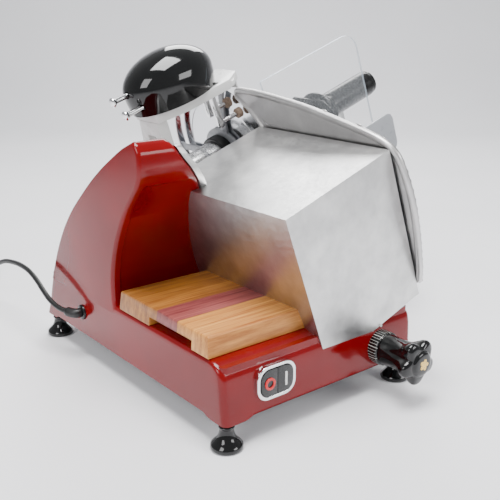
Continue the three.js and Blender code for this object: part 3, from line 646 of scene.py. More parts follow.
# housing
towerPlan = {
    "front": [(86, 223.0), (96, 224.5), (104, 226.2), (117, 226.5), (130, 226.0), (154.5, 221.0), (180.6, 211.0),
              (202.7, 199.4), (223.4, 186.0), (238.6, 173.4), (260, 156.6), (276, 151.7), (292, 152.6), (302, 158.0),
              (305.4, 163.0), (306, 165.0)],
    "rear": [(86, 402.2), (131.5, 378.6), (164.6, 356.5), (196.2, 328.3), (223.7, 296.6), (247, 267.3),
             (265.9, 239.9), (281.5, 214.3), (295.2, 190.0), (302.5, 173.6), (305.4, 167.6), (306, 165.4)],
    "right": [(86, 183.0), (96, 178.0), (117, 170.0), (135, 160.0), (171, 142.5), (212, 118.0), (236, 100.0),
              (263, 77.0), (290, 55.0), (300, 49.0), (306, 43.0)],
    "edge": 5.0, "crest": 5.0, "recess": 1.5, "recessTop": 257.0, "recessInset": (11.0, 9.0),
}
basePlan = {
    "front": [(27, 0.0), (49, 3.0), (71.5, 4.2), (78, 5.4), (84, 7.4), (88.5, 10.6), (92, 15.6), (94.8, 22.5), (96, 31)],
    "rear": [(27, 427.0), (47.7, 417.0), (81.3, 404.6), (88, 401.2), (93, 397.6), (96, 393)],
    "right": [(27, 294.0), (78, 294.0), (84, 293.2), (88.5, 291.0), (92, 287.4), (94.8, 281.5), (96, 274)],
    "left": [(27, 0.0), (88, 0.0), (91, 0.4), (93.5, 1.2), (95.3, 2.6), (96, 4.4)],
    "corner": 7.5, "skirt": 31.5, "lobe": 27.0, "lobeReach": (27.0, 40.0), "wall": 4.0,
}


def smoothLine(pairs, at):
    # monotone cubic through the pairs, so walls never ripple
    x, y = (np.array(v, float) for v in zip(*pairs))
    slope = np.diff(y) / np.diff(x)
    m = np.concatenate([[slope[0]], np.where(slope[:-1] * slope[1:] > 0, 2 * slope[:-1] * slope[1:] /
                        np.where(np.abs(slope[:-1] + slope[1:]) < 1e-9, 1, slope[:-1] + slope[1:]), 0), [slope[-1]]])
    k = np.clip(np.searchsorted(x, at) - 1, 0, len(x) - 2)
    h = x[k + 1] - x[k]
    t = np.clip((at - x[k]) / h, 0, 1)
    return ((1 + 2 * t) * (1 - t) ** 2 * y[k] + t * (1 - t) ** 2 * h * m[k] + t * t * (3 - 2 * t) * y[k + 1]
            + t * t * (t - 1) * h * m[k + 1])


def cornerRing(x0, x1, y0, y1, radius, frontStops, per=6):
    # plan ring, anticlockwise from the front left; frontStops are extra points on the front edge
    r = max(0.05, min(radius, 0.48 * (x1 - x0), 0.48 * (y1 - y0)))
    ring = []
    for cx, cy, a0 in ((x0 + r, y0 + r, 180), (x1 - r, y0 + r, 270), (x1 - r, y1 - r, 0), (x0 + r, y1 - r, 90)):
        for k in range(per + 1):
            a = math.radians(a0 + 90 * k / per)
            ring.append((cx + r * math.cos(a), cy + r * math.sin(a)))
        if a0 == 180:
            ring += [(x, y0 + dy) for x, dy in frontStops(x0 + r, x1 - r)]
    return ring


def towerMesh(plan):
    levels = np.unique(np.concatenate([np.arange(86, 250, 4.0), np.arange(250, 262, 1.0), np.arange(262, 296, 3.0),
                                       np.arange(296, 306, 0.8), [305.7, 305.95]]))
    rings = []
    for z in levels:
        y0, y1, x1 = (float(smoothLine(plan[k], z)) for k in ("front", "rear", "right"))
        down = 306.0 - z
        crest = plan["crest"]
        pull = crest - math.sqrt(max(0.0, crest ** 2 - (crest - min(crest, down)) ** 2))
        depth = plan["recess"] * float(np.clip((plan["recessTop"] - z) / 2.5, 0, 1)) * float(np.clip((z - 99) / 2, 0, 1))
        a, b = plan["recessInset"]

        def stops(low, high, depth=depth):
            left = min(max(low + 0.5, a), high - 6)
            right = max(left + 3, high + plan["edge"] - b)
            right = min(right, high - 0.5)
            return [(left, 0), (left + 1.6, depth), (0.5 * (left + right), depth), (right - 1.6, depth), (right, 0)]
        rings.append([(x, y, z) for x, y in cornerRing(-0.04 + pull, x1 - pull * 0.5, y0, y1, plan["edge"], stops)])
    return objectOf(ringsMesh("tower", rings))


def baseMesh(plan):
    outer = [27, 29, 33, 40, 49, 60, 71.5, 78, 81.3, 84, 86.5, 88.5, 90.5, 92, 93.5, 94.8, 95.5, 96]
    noStops = lambda low, high: []

    def level(z, inset=0.0):
        y0, y1, x0, x1 = (float(smoothLine(plan[k], z)) for k in ("front", "rear", "left", "right"))
        return cornerRing(x0 + inset, x1 - inset, y0 + inset, y1 - inset, plan["corner"] - inset * 0.5, noStops, 8)

    def dense(ring):
        out = []
        for i, p in enumerate(ring):
            q = ring[(i + 1) % len(ring)]
            parts = max(1, int(math.dist(p, q) // 6))
            out.append((p, q, parts))
        return out

    shape = [(i, k / parts) for i, (p, q, parts) in enumerate(dense(level(60))) for k in range(parts)]

    def filled(ring, z, low=False):
        points = []
        for i, t in shape:
            p, q = ring[i], ring[(i + 1) % len(ring)]
            x, y = p[0] + (q[0] - p[0]) * t, p[1] + (q[1] - p[1]) * t
            height = z
            if low:
                gapToCorner = min(max(abs(x - cx), abs(y - cy)) for cx in (0, 294) for cy in (0, 427))
                a, b = plan["lobeReach"]
                s = float(np.clip((gapToCorner - a) / (b - a), 0, 1))
                rise = plan["lobe"] + (plan["skirt"] - plan["lobe"]) * s * s * (3 - 2 * s)
                height = max(z, rise) if z > plan["lobe"] else rise
            points.append((x, y, height))
        return points
    rings = [filled(level(60, 4), 92.0), filled(level(60, 4), 40.0), filled(level(40, 4), 33.0),
             filled(level(29, 4), 27.4, True), filled(level(27.5, 3.2), 27.0, True), filled(level(27, 0.8), 27.0, True),
             filled(level(27.6), 27.6, True)]
    for z in outer[1:]:
        rings.append(filled(level(z), float(z), z < 40))
    return objectOf(ringsMesh("base", rings))


bulgePlan = {"radius": 46.0, "along": (-178.0, -129.0), "foot": (-68.0, 60.0), "low": -130.0}


def bulgeMesh(plan):
    r = plan["radius"]
    arc = [(r * math.cos(math.radians(a)), r * math.sin(math.radians(a))) for a in range(6, 175, 6)]
    outline = arc + [(plan["foot"][0], plan["low"]), (plan["foot"][1], plan["low"])]
    made = prism("bulge", outline, "x", *plan["along"], place=inCutting)
    made = cutWith(made, prism("keep", [(-20, 92), (250, 92), (250, 300), (-20, 300)], "y", 200, 440), "INTERSECT")
    return bevelled(made, 5.0, 5, 40)


def makeHousing():
    base = baseMesh(basePlan)
    slotCut = prism("slot", [(x, z) for x, z in roundedRectangle(213, 60, 366, 16, 7.5)], "x", 282, 300)
    cutWith(base, slotCut)
    made = merged("housingShell", [base, towerMesh(towerPlan), bulgeMesh(bulgePlan)])
    return finished(made, "housingShell", "redEnamel", "machine", ["housing"], 38)


def roundedRectangle(cx, cy, width, height, radius, steps=6):
    out = []
    for sx, sy, a0 in ((1, -1, 270), (1, 1, 0), (-1, 1, 90), (-1, -1, 180)):
        for k in range(steps + 1):
            a = math.radians(a0 + 90 * k / steps)
            out.append((cx + sx * (width / 2 - radius) + radius * math.cos(a),
                        cy + sy * (height / 2 - radius) + radius * math.sin(a)))
    return out


makeHousing()
print("housing made")

# feet, board, switch
footPlan = {
    "at": {"front_left": (8, 8), "rear_left": (8, 403), "front_right": (273, 8), "rear_right": (273, 403)},
    "profile": [(0.01, 0), (15.6, 0), (17.1, 0.5), (17.9, 1.8), (18, 3.6), (17.4, 5.6), (15.4, 8.0), (12.6, 10.8),
                (10.4, 13.6), (8.9, 17), (8.0, 20.5), (7.7, 23.4), (8.6, 24.6), (8.8, 26.0), (8.2, 26.7), (0.01, 26.7)],
}
for corner, at in footPlan["at"].items():
    smoothed = [tuple(p) for p in curveThrough(footPlan["profile"][1:-1], 3)]
    foot = lathe("foot" + corner, [(0.01, 0)] + smoothed + [(0.01, 26.7)], "z", at)
    finished(foot, "foot" + corner.title().replace("_", ""), "blackGloss", "machine", ["foot_" + corner], 40)

finished(fromNode("cutting_board", 1.3, 3), "cuttingBoard", "boardWood", "machine", ["cutting_board"])
finished(fromNode("switch_bezel", 0.9, 3), "switchBezel", "chrome", "machine", ["switch_bezel"])
for node, finish in (("off_button", "switchOff"), ("on_button", "switchOn")):
    finished(fromNode(node, 0.55, 3), node.replace("_b", "B"), finish, node, [node])
print("board and switch made")

# thickness knob
knobPlan = {
    "lobes": 5,
    "rings": [(-10, 18.6, 0), (-10.6, 19.0, 0), (-15, 18.8, 0.2), (-21, 18.2, 0.4), (-28, 18.0, 0.8), (-34, 18.3, 1.3),
              (-39, 19.2, 2.0), (-43, 20.8, 2.8), (-47, 22.8, 3.6), (-50.5, 24.4, 4.1),
              (-54, 25.0, 4.2), (-56.5, 24.5, 4.1), (-58.5, 22.9, 3.6), (-60.0, 20.4, 2.4), (-60.8, 17.8, 1.0),
              (-60.9, 16.2, 0.3), (-61.6, 15.2, 0), (-63.0, 14.4, 0), (-64.2, 12.6, 0), (-64.9, 9, 0), (-65, 0.4, 0)],
    "lobeTurn": 23.0,
    "mark": (7.2, 0.8),
}


def makeKnob(plan):
    kx, kz = layout["knobAt"]
    table = np.array(plan["rings"])
    fine = np.array([table[0]] + [p for p in curveThrough(table, 3)[1:]])
    steps = 100
    t = np.linspace(0, 2 * math.pi, steps, endpoint=False)
    rings = []
    for y, radius, lobe in fine:
        wave = np.cos(plan["lobes"] * (t + math.radians(plan["lobeTurn"])))
        r = np.maximum(0.2, radius + lobe * (wave - 0.35 * wave ** 2 + 0.1))
        rings.append(np.stack([kx + r * np.cos(t), np.full(steps, y), kz + r * np.sin(t)], 1))
    body = objectOf(ringsMesh("knob", rings))
    finished(body, "thicknessKnob", "blackGloss", "knob", ["thickness_knob"], 50)
    reach, deep = plan["mark"]
    petals = []
    for k in range(60):
        a = 2 * math.pi * k / 60
        r = reach * (0.62 + 0.38 * abs(math.cos(2.5 * a)))
        petals.append((kx + r * math.cos(a), kz + r * math.sin(a)))
    flower = prism("knobMark", petals, "y", -64.9 - deep + 0.4, -64.2)
    finished(bevelled(flower, 0.2, 2), "knobMark", "gold", "knob")
    ring = [(7.8, -9.6), (18.8, -9.6), (20.0, -9.1), (20.8, -8.0), (21.0, -6.6), (21.0, 6.0), (7.8, 6.0), (7.8, -9.6)]
    dialRing = lathe("dialRing", ring, "y", (kx, kz), inBase, 96)
    finished(dialRing, "dialRing", "dial", "machine", ["dial_ring"])
    dot = lathe("indexDot", [(0.01, 3.2), (1.7, 3.2), (1.7, 4.5), (0.01, 4.5)], "y", (kx + 1, kz + 26.5), inBase, 32)
    finished(dot, "indexDot", "whiteEnamel", "machine")


makeKnob(knobPlan)
carried("knob_spindle", "plainSteel")
carried("gauge_cam", "brass")
print("knob made")

# gauge
gaugePlan = {
    "outer": [(-92, -119), (-103, -125.5), (-117, -128.8), (-190, -129), (-255.6, -128.9), (-293.6, -128.2),
              (-325, -127), (-333.6, -122.5), (-337.2, -112), (-339.6, -101.8), (-346.1, -56.8), (-349.1, -14.8),
              (-347.4, 17.8), (-342.2, 46.3), (-336, 58.5), (-325.1, 67.5), (-304.5, 76), (-259.7, 86.9),
              (-194.7, 100.7), (-121.3, 110.1), (-84, 112), (-69, 111.2), (-63, 108), (-60.2, 103)],
    "hollow": 113.0, "hollowFrom": 122.0, "hollowTo": 227.0, "tail": [(-78.6, -92), (-82, -106)],
    "edge": [(0, 8), (0.25, 6.3), (0.9, 5.0), (2.0, 4.2), (3.4, 4.0), (5.0, 4.2), (6.4, 4.9), (7.6, 5.9), (8.8, 6.4), (9.6, 6.45)],
    "back": [(0.25, 10.2), (0.9, 10.9), (1.8, 11.0)],
    "ribPitch": 12.0, "ribWidth": 8.6, "ribHeight": 1.0,
}


def inset2(points, distance):
    # a closed anticlockwise outline moved inwards
    p = np.array(points)
    before = p - np.roll(p, 1, 0)
    after = np.roll(p, -1, 0) - p
    before /= np.linalg.norm(before, axis=1)[:, None]
    after /= np.linalg.norm(after, axis=1)[:, None]
    normal = np.stack([-(before + after)[:, 1], (before + after)[:, 0]], 1)
    normal /= np.linalg.norm(normal, axis=1)[:, None]
    cosine = np.clip((-normal[:, 0] * before[:, 1] + normal[:, 1] * before[:, 0]), 0.5, 1)
    area = np.sum(p[:, 0] * np.roll(p[:, 1], -1) - np.roll(p[:, 0], -1) * p[:, 1])
    return p + normal * (math.copysign(distance, area) / cosine)[:, None]


def gaugeOutline(plan):
    outer = curveThrough(plan["outer"], 4)
    arc = [(plan["hollow"] * math.cos(math.radians(a)), plan["hollow"] * math.sin(math.radians(a)))
           for a in np.arange(plan["hollowFrom"], plan["hollowTo"] + 0.1, 2.5)]
    tail = curveThrough([arc[-1], *plan["tail"], plan["outer"][0]], 4)[1:-1]
    return np.concatenate([outer, arc, tail])


def makeGauge(plan):
    outline = gaugeOutline(plan)
    rings = []
    for inward, d in [*reversed(plan["edge"]), *plan["back"]]:
        ring = inset2(outline, inward) if inward else outline
        rings.append(np.stack([np.full(len(ring), float(d)), ring[:, 0], ring[:, 1]], 1))
    plate = objectOf(ringsMesh("gaugePlate", rings, inCutting))
    ribs = []
    hollow = plan["hollow"] + 4
    s = -118.0
    while s < 96:
        middleS = s + plan["ribWidth"] / 2
        ys = []
        for a, b in zip(outline, np.roll(outline, -1, 0)):
            if (a[1] - middleS) * (b[1] - middleS) < 0:
                ys.append(a[0] + (b[0] - a[0]) * (middleS - a[1]) / (b[1] - a[1]))
        if len(ys) > 1:
            low = min(ys) + 0.7
            high = max(ys) - 6
            slope = 0.11 * max(0.0, middleS - 40)
            ribs.append(bevelled(prism("rib", roundedRectangle((low + slope * 2 + high) / 2, middleS, high - low - slope * 2,
                        plan["ribWidth"], 4.0, 4), "x", 10.4, 11.0 + plan["ribHeight"], inCutting), 0.8, 2))
        s += plan["ribPitch"]
    lip = bevelled(prism("lip", [(-330, -128.6), (-120, -128.6), (-122, -125.4), (-328, -125.4)], "x", 9.5, 17.0, inCutting), 1.4, 3)
    made = merged("gaugePlate", [plate, *ribs, lip])
    finished(made, "gaugePlate", "gaugeAluminium", "gauge", ["gauge_plate"], 40)


footBlock = {
    "hull": [(276.5, 188, 189), (275.6, 119.5, 192), (284, 190, 186), (283, 118, 189), (314, 218, 121), (314, 80, 121),
             (246, 139, 127), (230, 53, 127), (272, 60, 127)],
    "flange": [(222.5, 43), (276, 52.5), (316, 84), (316, 214), (243, 141.5)], "flangeHeight": (121.0, 129.0),
    "round": 6.0, "flangeRound": 3.0, "plateFace": 3.7,
}


def makeGaugeFoot(plan):
    work = bmesh.new()
    for p in inBase(plan["hull"]):
        work.verts.new(p)
    bmesh.ops.convex_hull(work, input=work.verts)
    bmesh.ops.dissolve_limit(work, angle_limit=math.radians(3), verts=work.verts, edges=work.edges)
    mesh = bpy.data.meshes.new("footBlock")
    work.to_mesh(mesh)
    work.free()
    block = bevelled(objectOf(mesh), plan["round"], 6, 20)
    flange = bevelled(prism("flange", plan["flange"], "z", *plan["flangeHeight"]), plan["flangeRound"], 4, 20)
    made = merged("gaugeFoot", [block, flange])
    keep = prism("keep", [(-330, -140), (-100, -140), (-100, 60), (-330, 60)], "x", -160, plan["plateFace"], inCutting)
    finished(cutWith(made, keep, "INTERSECT"), "gaugeFoot", "footAluminium", "gauge", ["gauge_foot"])


makeGauge(gaugePlan)
makeGaugeFoot(footBlock)
carried("gauge_stud", "chrome")
carried("gauge_carrier", "castAluminium")
carried("gauge_rod", "chrome")
print("gauge made")

# neck, nose and frame cap
neckPlan = {
    "drive_nose": (22, 44, -131, -76.3, 2.0, "castAluminium"),
    "neck_seal_left": (22, 38, -76, -66, 2.4, "softRubber"),
    "neck_tube": (22, 31, -65.7, -35.1, 0.5, "neckAluminium"),
    "neck_collar": (22, 31, -34.95, -14.3, 0.5, "neckAluminium"),
    "neck_seal_right": (22.5, 36, -14, 1, 2.2, "softRubber"),
}
for node, (inner, outer, low, high, edge, finish) in neckPlan.items():
    words = node.split("_")
    name = words[0] + "".join(w.title() for w in words[1:])
    finished(turnedRing(name, inner, outer, low, high, edge=edge), name, finish, "machine", [node], 30)

capPlan = {"near": 0.3, "far": 7.0, "low": 96.3}


def makeCap(plan):
    heights = np.concatenate([np.arange(plan["low"], 296, 3.0), [298.5]])
    line = np.array([(float(smoothLine(towerPlan["right"], z)), z) for z in heights])
    tangent = np.gradient(line, axis=0)
    tangent /= np.linalg.norm(tangent, axis=1)[:, None]
    normal = np.stack([tangent[:, 1], -tangent[:, 0]], 1)
    band = np.concatenate([line + normal * plan["near"], (line + normal * plan["far"])[::-1]])
    strip = prism("cap", band, "y", 130, 430)
    front = [(float(smoothLine(towerPlan["front"], z)) + 0.05, z) for z in np.arange(96.3, 292, 4.0)]
    rear = curveThrough([(151.4, 289), (158, 299), (190, 291), (240, 266), (290, 252), (330, 248), (358, 236), (376, 215),
                         (384, 190), (390, 140), (393, 96.3)], 5)
    side = prism("side", [*front, *[tuple(p) for p in rear]], "x", 40, 230)
    cutWith(strip, side, "INTERSECT")
    finished(bevelled(strip, 1.6, 3, 40), "frameCap", "castAluminium", "machine", ["frame_cap"], 35)


makeCap(capPlan)
carried("shaft_bearing", "plainSteel")
print("neck made")

# blade and its guards
bladePlan = {
    "profile": [(10, 7.4), (50, 7.4), (82.6, 7.4), (83.6, 7.6), (85.4, 8.3), (86.4, 8.45), (92.6, 9.0), (93.4, 9.15),
                (104, 10.6), (109.6, 11.55), (110, 11.75), (109.8, 12), (104, 11.65), (92, 11.0), (85, 10.4), (10, 10.4)],
    "cover": [(0.01, 10.7), (79.4, 10.7), (80.3, 11.1), (80.4, 11.8), (79.4, 12.5), (76, 12.9), (0.01, 13)],
    "ring": (113.0, 120.0, -2.0, 10.0), "ringArc": (-115.0, 112.0), "arms": (108.0, 250.0, 0.0),
}


def makeBlade(plan):
    disc = lathe("bladeDisc", [*plan["profile"], plan["profile"][0]], "x", (0, 0), inCutting, 180)
    finished(disc, "bladeDisc", "bladeSteel", "blade", ["blade"], 12)
    cover = lathe("bladeCover", plan["cover"], "x", (0, 0), inCutting, 120)
    finished(cover, "bladeCover", "polishedAluminium", "blade", ["blade_cover"], 30)


def makeRingGuard(plan):
    inner, outer, low, high = plan["ring"]
    section = roundedProfile([(inner, low), (outer, low), (outer, high), (inner, high)], 2.2, 4)
    rings = []
    start, stop = plan["ringArc"]
    for a in np.linspace(start, stop, 90):
        t = math.radians(a)
        rings.append([(h, r * math.cos(t), r * math.sin(t)) for r, h in section])
    band = objectOf(ringsMesh("band", rings, inCutting))
    hub = turnedRing("hub", 15, 45, 1.3, 6, edge=1.6)
    arms = []
    for a in plan["arms"]:
        t = math.radians(a)
        side = np.array([-math.sin(t), math.cos(t)])
        out = np.array([math.cos(t), math.sin(t)])
        outline = [out * r + side * w for r, w in ((40, -8), (60, -5.6), (104, -5.0), (116, -8), (116, 8), (104, 5.0), (60, 5.6), (40, 8))]
        arms.append(bevelled(prism("arm", outline, "x", 1.5, 5.6, inCutting), 1.3, 3))
    finished(band, "ringGuard", "chrome", "machine", ["ring_guard"], 35)
    finished(merged("ringSpider", [hub, *arms]), "ringSpider", "greyEnamel", "machine", [], 35)


lowerGuardPlan = {
    "web": [(146, 96.3), (146, 168), (158, 203), (170, 204), (188, 184), (206, 161), (224, 138), (240, 117), (244, 96.3)],
    "thick": (231.0, 236.0), "rim": [(163, 233.5, 207), (172, 233.5, 201), (186, 233.5, 184), (205, 233.5, 161),
                                     (222, 233.5, 140), (236, 233.5, 121), (240, 233.5, 108)], "rimRadius": 7.4,
    "horn": [(253.5, 259, 104.2), (264, 265, 104.2), (280, 271, 108), (292, 275, 117), (298, 278, 126)],
    "hornRadius": 7.4,
}


def makeLowerGuard(plan):
    web = bevelled(prism("web", plan["web"], "y", *plan["thick"]), 1.2, 3)
    rim = sweep("rim", curveThrough(plan["rim"], 6), plan["rimRadius"], sides=24)
    foot = bevelled(prism("foot", [(146, 231), (244, 231), (244, 262), (146, 262)], "z", 96.3, 100.3), 1.2, 3)
    made = merged("lowerGuard", [web, rim, foot])
    finished(made, "lowerGuard", "polishedAluminium", "machine", ["lower_guard"], 35)
    horn = sweep("horn", curveThrough(plan["horn"], 6), plan["hornRadius"], sides=28)
    clear = lathe("clear", [(0.01, -8), (120.4, -8), (120.4, 20), (0.01, 20)], "x", (0, 0), inCutting, 120)
    finished(cutWith(horn, clear), "guardHorn", "polishedAluminium", "machine", ["guard_horn"])
    finished(fromNode("slice_deflector", 0.4, 2), "sliceDeflector", "chrome", "machine", ["slice_deflector"])


makeBlade(bladePlan)
makeRingGuard(bladePlan)
makeLowerGuard(lowerGuardPlan)
for node, finish in {"blade_shaft": "plainSteel", "blade_pulley": "castAluminium", "drive_belt": "beltRubber",
                     "motor_pulley": "castAluminium", "motor_body": "plainSteel", "motor_bracket": "castAluminium",
                     "bottom_cover": "plainSteel", "carriage_rod": "chrome"}.items():
    carried(node, finish)
print("blade and guards made")

# sharpener
sharpenerPlan = {
    "middle": (-75.0, -45.0, 158.0), "half": (65.0, 46.0, 39.0), "wall": 3.0, "lowest": 132.3,
    "stones": {"sharpening": ((-46.3, 90.9), (-46.0, 163.0), -164.0), "deburring": ((-65.6, 78.1), (-62.0, 146.0), -162.0)},
    "button": [(0.01, 0.0), (3.4, 0.25), (5.2, 1.0), (6.3, 2.2), (6.4, 3.6), (5.6, 4.8), (4.0, 6.2), (3.4, 8.0)],
}


def domeMesh(plan, shrink, name):
    d, y, s = plan["middle"]
    a, b, c = (v - shrink for v in plan["half"])
    lower = [(-1.0, 0.86), (-0.8, 0.925), (-0.6, 0.96), (-0.4, 0.983), (-0.2, 0.996), (0.0, 1.0)]
    upper = [(math.sin(t), math.cos(t)) for t in np.linspace(0, math.pi / 2, 26)[1:-1]]
    t = np.linspace(0, 2 * math.pi, 96, endpoint=False)
    rings = [np.stack([d + a * w * np.cos(t), y + b * w * np.sin(t), np.full(96, s + c * h)], 1)
             for h, w in [*lower, *upper, (1.0, 0.004)]]
    return objectOf(ringsMesh(name, rings, inCutting))


def makeSharpener(plan):
    low = plan["lowest"]
    shell = domeMesh(plan, 0.0, "dome")
    cutWith(shell, domeMesh(plan, plan["wall"], "inside"))
    cutWith(shell, prism("below", [(-200, -200), (60, -200), (60, 100), (-200, 100)], "z", 60, low, inCutting))
    for name, (stone, stem, head) in plan["stones"].items():
        cutWith(shell, lathe("hole", [(0.01, -180), (4.6, -180), (4.6, -100), (0.01, -100)], "x", stem, inCutting, 32))
    finished(shell, "sharpenerCover", "blackGloss", "machine", ["sharpener_cover"], 40)
    finished(fromNode("sharpener_body", 2.4, 4, 2.0, 35), "sharpenerBody", "whiteEnamel", "machine", ["sharpener_body"])
    finished(fromNode("sharpener_arm", 2.4, 4, 2.0, 35), "sharpenerArm", "whiteEnamel", "machine", ["sharpener_arm"])
    for name, (stone, stem, head) in plan["stones"].items():
        profile = [(r, head + h) for r, h in plan["button"]] + [(3.4, -31), (0.01, -31)]
        rod = lathe("rod", profile, "x", stem, inCutting, 48)
        lowS = stone[1] - 6
        bar = bevelled(prism("bar", [(stone[0] - 5, lowS), (stone[0] + 5, lowS), (stem[0] + 4, stem[1] + 5),
                                     (stem[0] - 4, stem[1] + 5)], "x", -35, -29, inCutting), 1.0, 3)
        pin = lathe("pin", [(0.01, -30), (3, -30), (3, -3.3), (0.01, -3.3)], "x", stone, inCutting, 32)
        button = merged(name + "Button", [rod, bar, pin])
        finished(button, name + "Button", "chrome", name + "_button", [name + "_button"], 35)
        wheel = lathe(name + "Stone", [(0.01, -3), (6.3, -3), (7, -2.3), (7, 3.9), (6.3, 4.6), (0.01, 4.6)], "x", stone,
                      inCutting, 48)
        finished(wheel, name + "Stone", "stone", name + "_button", [name + "_stone"], 30)


makeSharpener(sharpenerPlan)
print("sharpener made")

# carriage
pusherPlan = {"handle": (-65.0, 16.0), "rod": (-25.0, -6.0), "hub": ((148.0, -57.0, 14.0), (11.0, 38.0, 27.0)),
              "plate": [(-98, -116), (4, -116), (4, 20), (-14, 34), (-80, 34), (-98, 20)], "spikes": (4, 5, 24.0)}


def spikeField(plan):
    # small cones in rows on the pusher's face, made by a node tree
    columns, rows, pitch = plan["spikes"]
    tree = bpy.data.node_groups.new("spikeRows", "GeometryNodeTree")
    tree.interface.new_socket("Geometry", in_out="OUTPUT", socket_type="NodeSocketGeometry")
    sizes = {}
    for label, value in (("Pitch", pitch / 1000), ("Spike radius", 0.0024), ("Spike height", 0.006)):
        socket = tree.interface.new_socket(label, in_out="INPUT", socket_type="NodeSocketFloat")
        socket.default_value = value
        sizes[label] = (socket.identifier, value)
    way = tree.nodes.new("NodeGroupInput")
    out = tree.nodes.new("NodeGroupOutput")
    line = tree.nodes.new("GeometryNodeMeshGrid")
    line.inputs["Vertices X"].default_value = columns
    line.inputs["Vertices Y"].default_value = rows
    cone = tree.nodes.new("GeometryNodeMeshCone")
    cone.inputs["Vertices"].default_value = 16
    cone.inputs["Radius Top"].default_value = 0.0005
    cone.inputs["Side Segments"].default_value = 1
    placed = tree.nodes.new("GeometryNodeInstanceOnPoints")
    real = tree.nodes.new("GeometryNodeRealizeInstances")
    paint = tree.nodes.new("GeometryNodeSetMaterial")
    paint.inputs["Material"].default_value = finishes["blackSatin"].material
    for count, size in ((columns - 1, "Size X"), (rows - 1, "Size Y")):
        times = tree.nodes.new("ShaderNodeMath")
        times.operation = "MULTIPLY"
        times.inputs[1].default_value = count
        tree.links.new(way.outputs["Pitch"], times.inputs[0])
        tree.links.new(times.outputs[0], line.inputs[size])
    tree.links.new(way.outputs["Spike radius"], cone.inputs["Radius Bottom"])
    tree.links.new(way.outputs["Spike height"], cone.inputs["Depth"])
    tree.links.new(line.outputs["Mesh"], placed.inputs["Points"])
    tree.links.new(cone.outputs["Mesh"], placed.inputs["Instance"])
    tree.links.new(placed.outputs["Instances"], real.inputs["Geometry"])
    tree.links.new(real.outputs["Geometry"], paint.inputs["Geometry"])
    tree.links.new(paint.outputs["Geometry"], out.inputs["Geometry"])
    made = objectOf(bpy.data.meshes.new("spikes"))
    change = made.modifiers.new("rows", "NODES")
    change.node_group = tree
    for identifier, value in sizes.values():
        change[identifier] = value
    baked(made)
    # grid X runs along Y, grid Y runs up the plane, cones point back along the axis
    turn = Matrix(((0, 0, -1, 0), (1, 0, 0, 0), (0, 1, 0, 0), (0, 0, 0, 1)))
    points = np.array([list(turn @ v.co) for v in made.data.vertices]) * 1000 + np.array((138.2, -48.0, -52.0))
    for v, p in zip(made.data.vertices, inCutting(points)):
        v.co = p
    return made


def makePusher(plan):
    plate = bevelled(prism("plate", plan["plate"], "x", 138, 143, inCutting), 1.6, 3)
    (hx, hy, hs), (ax, ay, az) = plan["hub"]
    t = np.linspace(0, 2 * math.pi, 56, endpoint=False)
    rings = [np.stack([hx + ax * math.cos(p) * np.cos(t), np.full(56, hy + ay * math.sin(p)),
                       hs + az * math.cos(p) * np.sin(t)], 1) for p in np.linspace(-1.55, 1.55, 30)]
    hub = objectOf(ringsMesh("hub", rings, inCutting))
    bush = turnedRing("bush", 6.3, 11, 141, 168, centre=plan["rod"], edge=1.4, steps=56)
    finished(merged("pusher", [plate, hub, bush, spikeField(plan)]), "pusher", "blackSatin", "pusher", ["pusher"], 35)
    grip = [(0.01, 150), (14.5, 150), (15.6, 150.8), (16.4, 153), (18.0, 155.5), (18.8, 158), (19, 162), (19, 236), (18.9, 240)]
    grip += [(18.2, 242.4), (17.1, 243), (17.2, 243.7), (17.8, 244.6), (17.2, 247.4), (15, 249.4), (11, 250), (0.01, 250)]
    handle = lathe("pusherHandle", grip, "x", plan["handle"], inCutting, 80)
    finished(handle, "pusherHandle", "blackSatin", "pusher", ["pusher_handle"], 35)


def makeGuard():
    made = finished(fromNode("hand_guard", 0.7, 2), "handGuard", "clearSheet", "carriage", ["hand_guard"])
    made.data.materials.append(finishes["clearEdge"].material)
    for face in made.data.polygons:
        if abs(face.normal.y) < 0.9:
            face.material_index = 1


makePusher(pusherPlan)
makeGuard()
for node, width, finish in (("fence", 1.0, "greyEnamel"), ("food_table", 1.2, "gaugeAluminium"),
                            ("pusher_post", 1.4, "castAluminium"), ("carriage_arm", 3.0, "castAluminium"),
                            ("carriage_block", 1.5, "castAluminium")):
    words = node.split("_")
    finished(fromNode(node, width, 3), words[0] + "".join(w.title() for w in words[1:]), finish, "carriage", [node])
carried("pusher_rod", "chrome")
print("carriage made")

# cable gland, strain relief, plug
glandAt = (312.0, 62.0)
gland = lathe("cableGland", [(4.2, -3), (8.4, -3), (9.4, -2.5), (10, -1.5), (10, -0.1), (4.2, -0.1), (4.2, -3)], "x",
              glandAt, inBase, 48)
finished(gland, "cableGland", "blackSatin", "machine", ["cable_gland"])
reliefPlan = {"path": [(-4.4, 312, 62), (-8.8, 312.8, 62), (-12.6, 317.6, 62.2), (-15.4, 323.2, 62.7)], "radius": 6.3}
relief = bevelled(sweep("relief", curveThrough(reliefPlan["path"], 5), reliefPlan["radius"], sides=36), 1.2, 3, 50)
finished(relief, "strainRelief", "softRubber", "machine", ["strain_relief"])


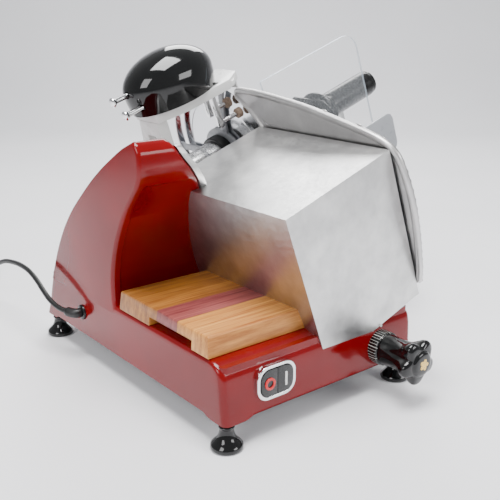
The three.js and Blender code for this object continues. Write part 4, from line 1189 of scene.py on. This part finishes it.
def makePlug():
    outline = roundedRectangle(-72, 9.2, 24, 18, 6, 6)
    rings = []
    for y, size in ((694.2, 0.42), (693.6, 0.5), (690, 0.62), (684, 0.82), (678, 0.97), (672, 1.0), (663.5, 1.0),
                    (661.4, 0.97), (660.6, 0.9)):
        rings.append([(-72 + (x + 72) * size, y, 9.2 + (z - 9.2) * size) for x, z in outline])
    body = objectOf(ringsMesh("plugBody", rings))
    finished(body, "plugBody", "blackSatin", "machine", ["plug"], 40)
    pins = []
    for x in (-78, -66):
        pins.append(lathe("pin", [(0.01, 641), (1.4, 641), (2.1, 641.8), (2.2, 643), (2.2, 662), (0.01, 662)], "y",
                          (x, 9.2), inBase, 24))
    made = finished(merged("plugPins", pins), "plugPins", "chrome", "machine")
    return body, made


plugBody, plugPins = makePlug()
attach(cord, "machine")
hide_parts("power_cord", "cord_coil")
tuple(inBase(cordPlan["route"][0]))
print("cord pieces made")

# floor and light
stagePlan = {"floor": 3.2, "wallBack": 1.9, "bend": 0.7, "height": 2.4}


def makeStage(plan):
    line = [(-plan["floor"], 0.0)]
    back = plan["wallBack"]
    line.append((back, 0.0))
    for k in range(1, 17):
        a = math.radians(90 * k / 16)
        line.append((back + plan["bend"] * math.sin(a), plan["bend"] * (1 - math.cos(a))))
    line.append((back + plan["bend"], plan["height"]))
    # the sweep runs square to the camera's plan direction
    a = math.radians(cameraPlan["azimuth"])
    away = np.array((-math.sin(a), math.cos(a)))
    across = np.array((math.cos(a), math.sin(a)))
    points, faces = [], []
    for reach, height in line:
        for side in (-3.5, 3.5):
            p = away * reach + across * side
            points.append((p[0], p[1], height - 0.0003))
    for k in range(len(line) - 1):
        faces.append((2 * k, 2 * k + 1, 2 * k + 3, 2 * k + 2))
    mesh = bpy.data.meshes.new("floor")
    mesh.from_pydata(points, [], faces)
    mesh.materials.append(finishes["floorPaper"].material)
    floor = objectOf(mesh)
    mesh.shade_smooth()


def areaLight(name, at, size, power, colour=(1, 1, 1), target=(0, 0, 0.15)):
    data = bpy.data.lights.new(name, "AREA")
    data.shape = "RECTANGLE"
    data.size, data.size_y = size
    data.energy = power
    data.color = colour
    light = bpy.data.objects.new(name, data)
    light.location = at
    light.rotation_euler = (Vector(target) - Vector(at)).to_track_quat("-Z", "Y").to_euler()
    bpy.context.scene.collection.objects.link(light)


makeStage(stagePlan)
areaLight("skyPanel", (-0.25, -0.1, 2.0), (1.0, 1.0), 70)
areaLight("leftPanel", (-1.7, -0.5, 1.2), (0.7, 1.0), 18)
areaLight("frontPanel", (0.8, -1.9, 1.1), (1.0, 0.8), 20)
areaLight("rearPanel", (1.1, 1.3, 1.6), (1.2, 0.9), 34)
world = bpy.data.worlds.new("studio")
world.use_nodes = True
world.node_tree.nodes["Background"].inputs["Color"].default_value = (0.93, 0.94, 0.96, 1)
world.node_tree.nodes["Background"].inputs["Strength"].default_value = 0.5
bpy.context.scene.world = world
print("stage set")
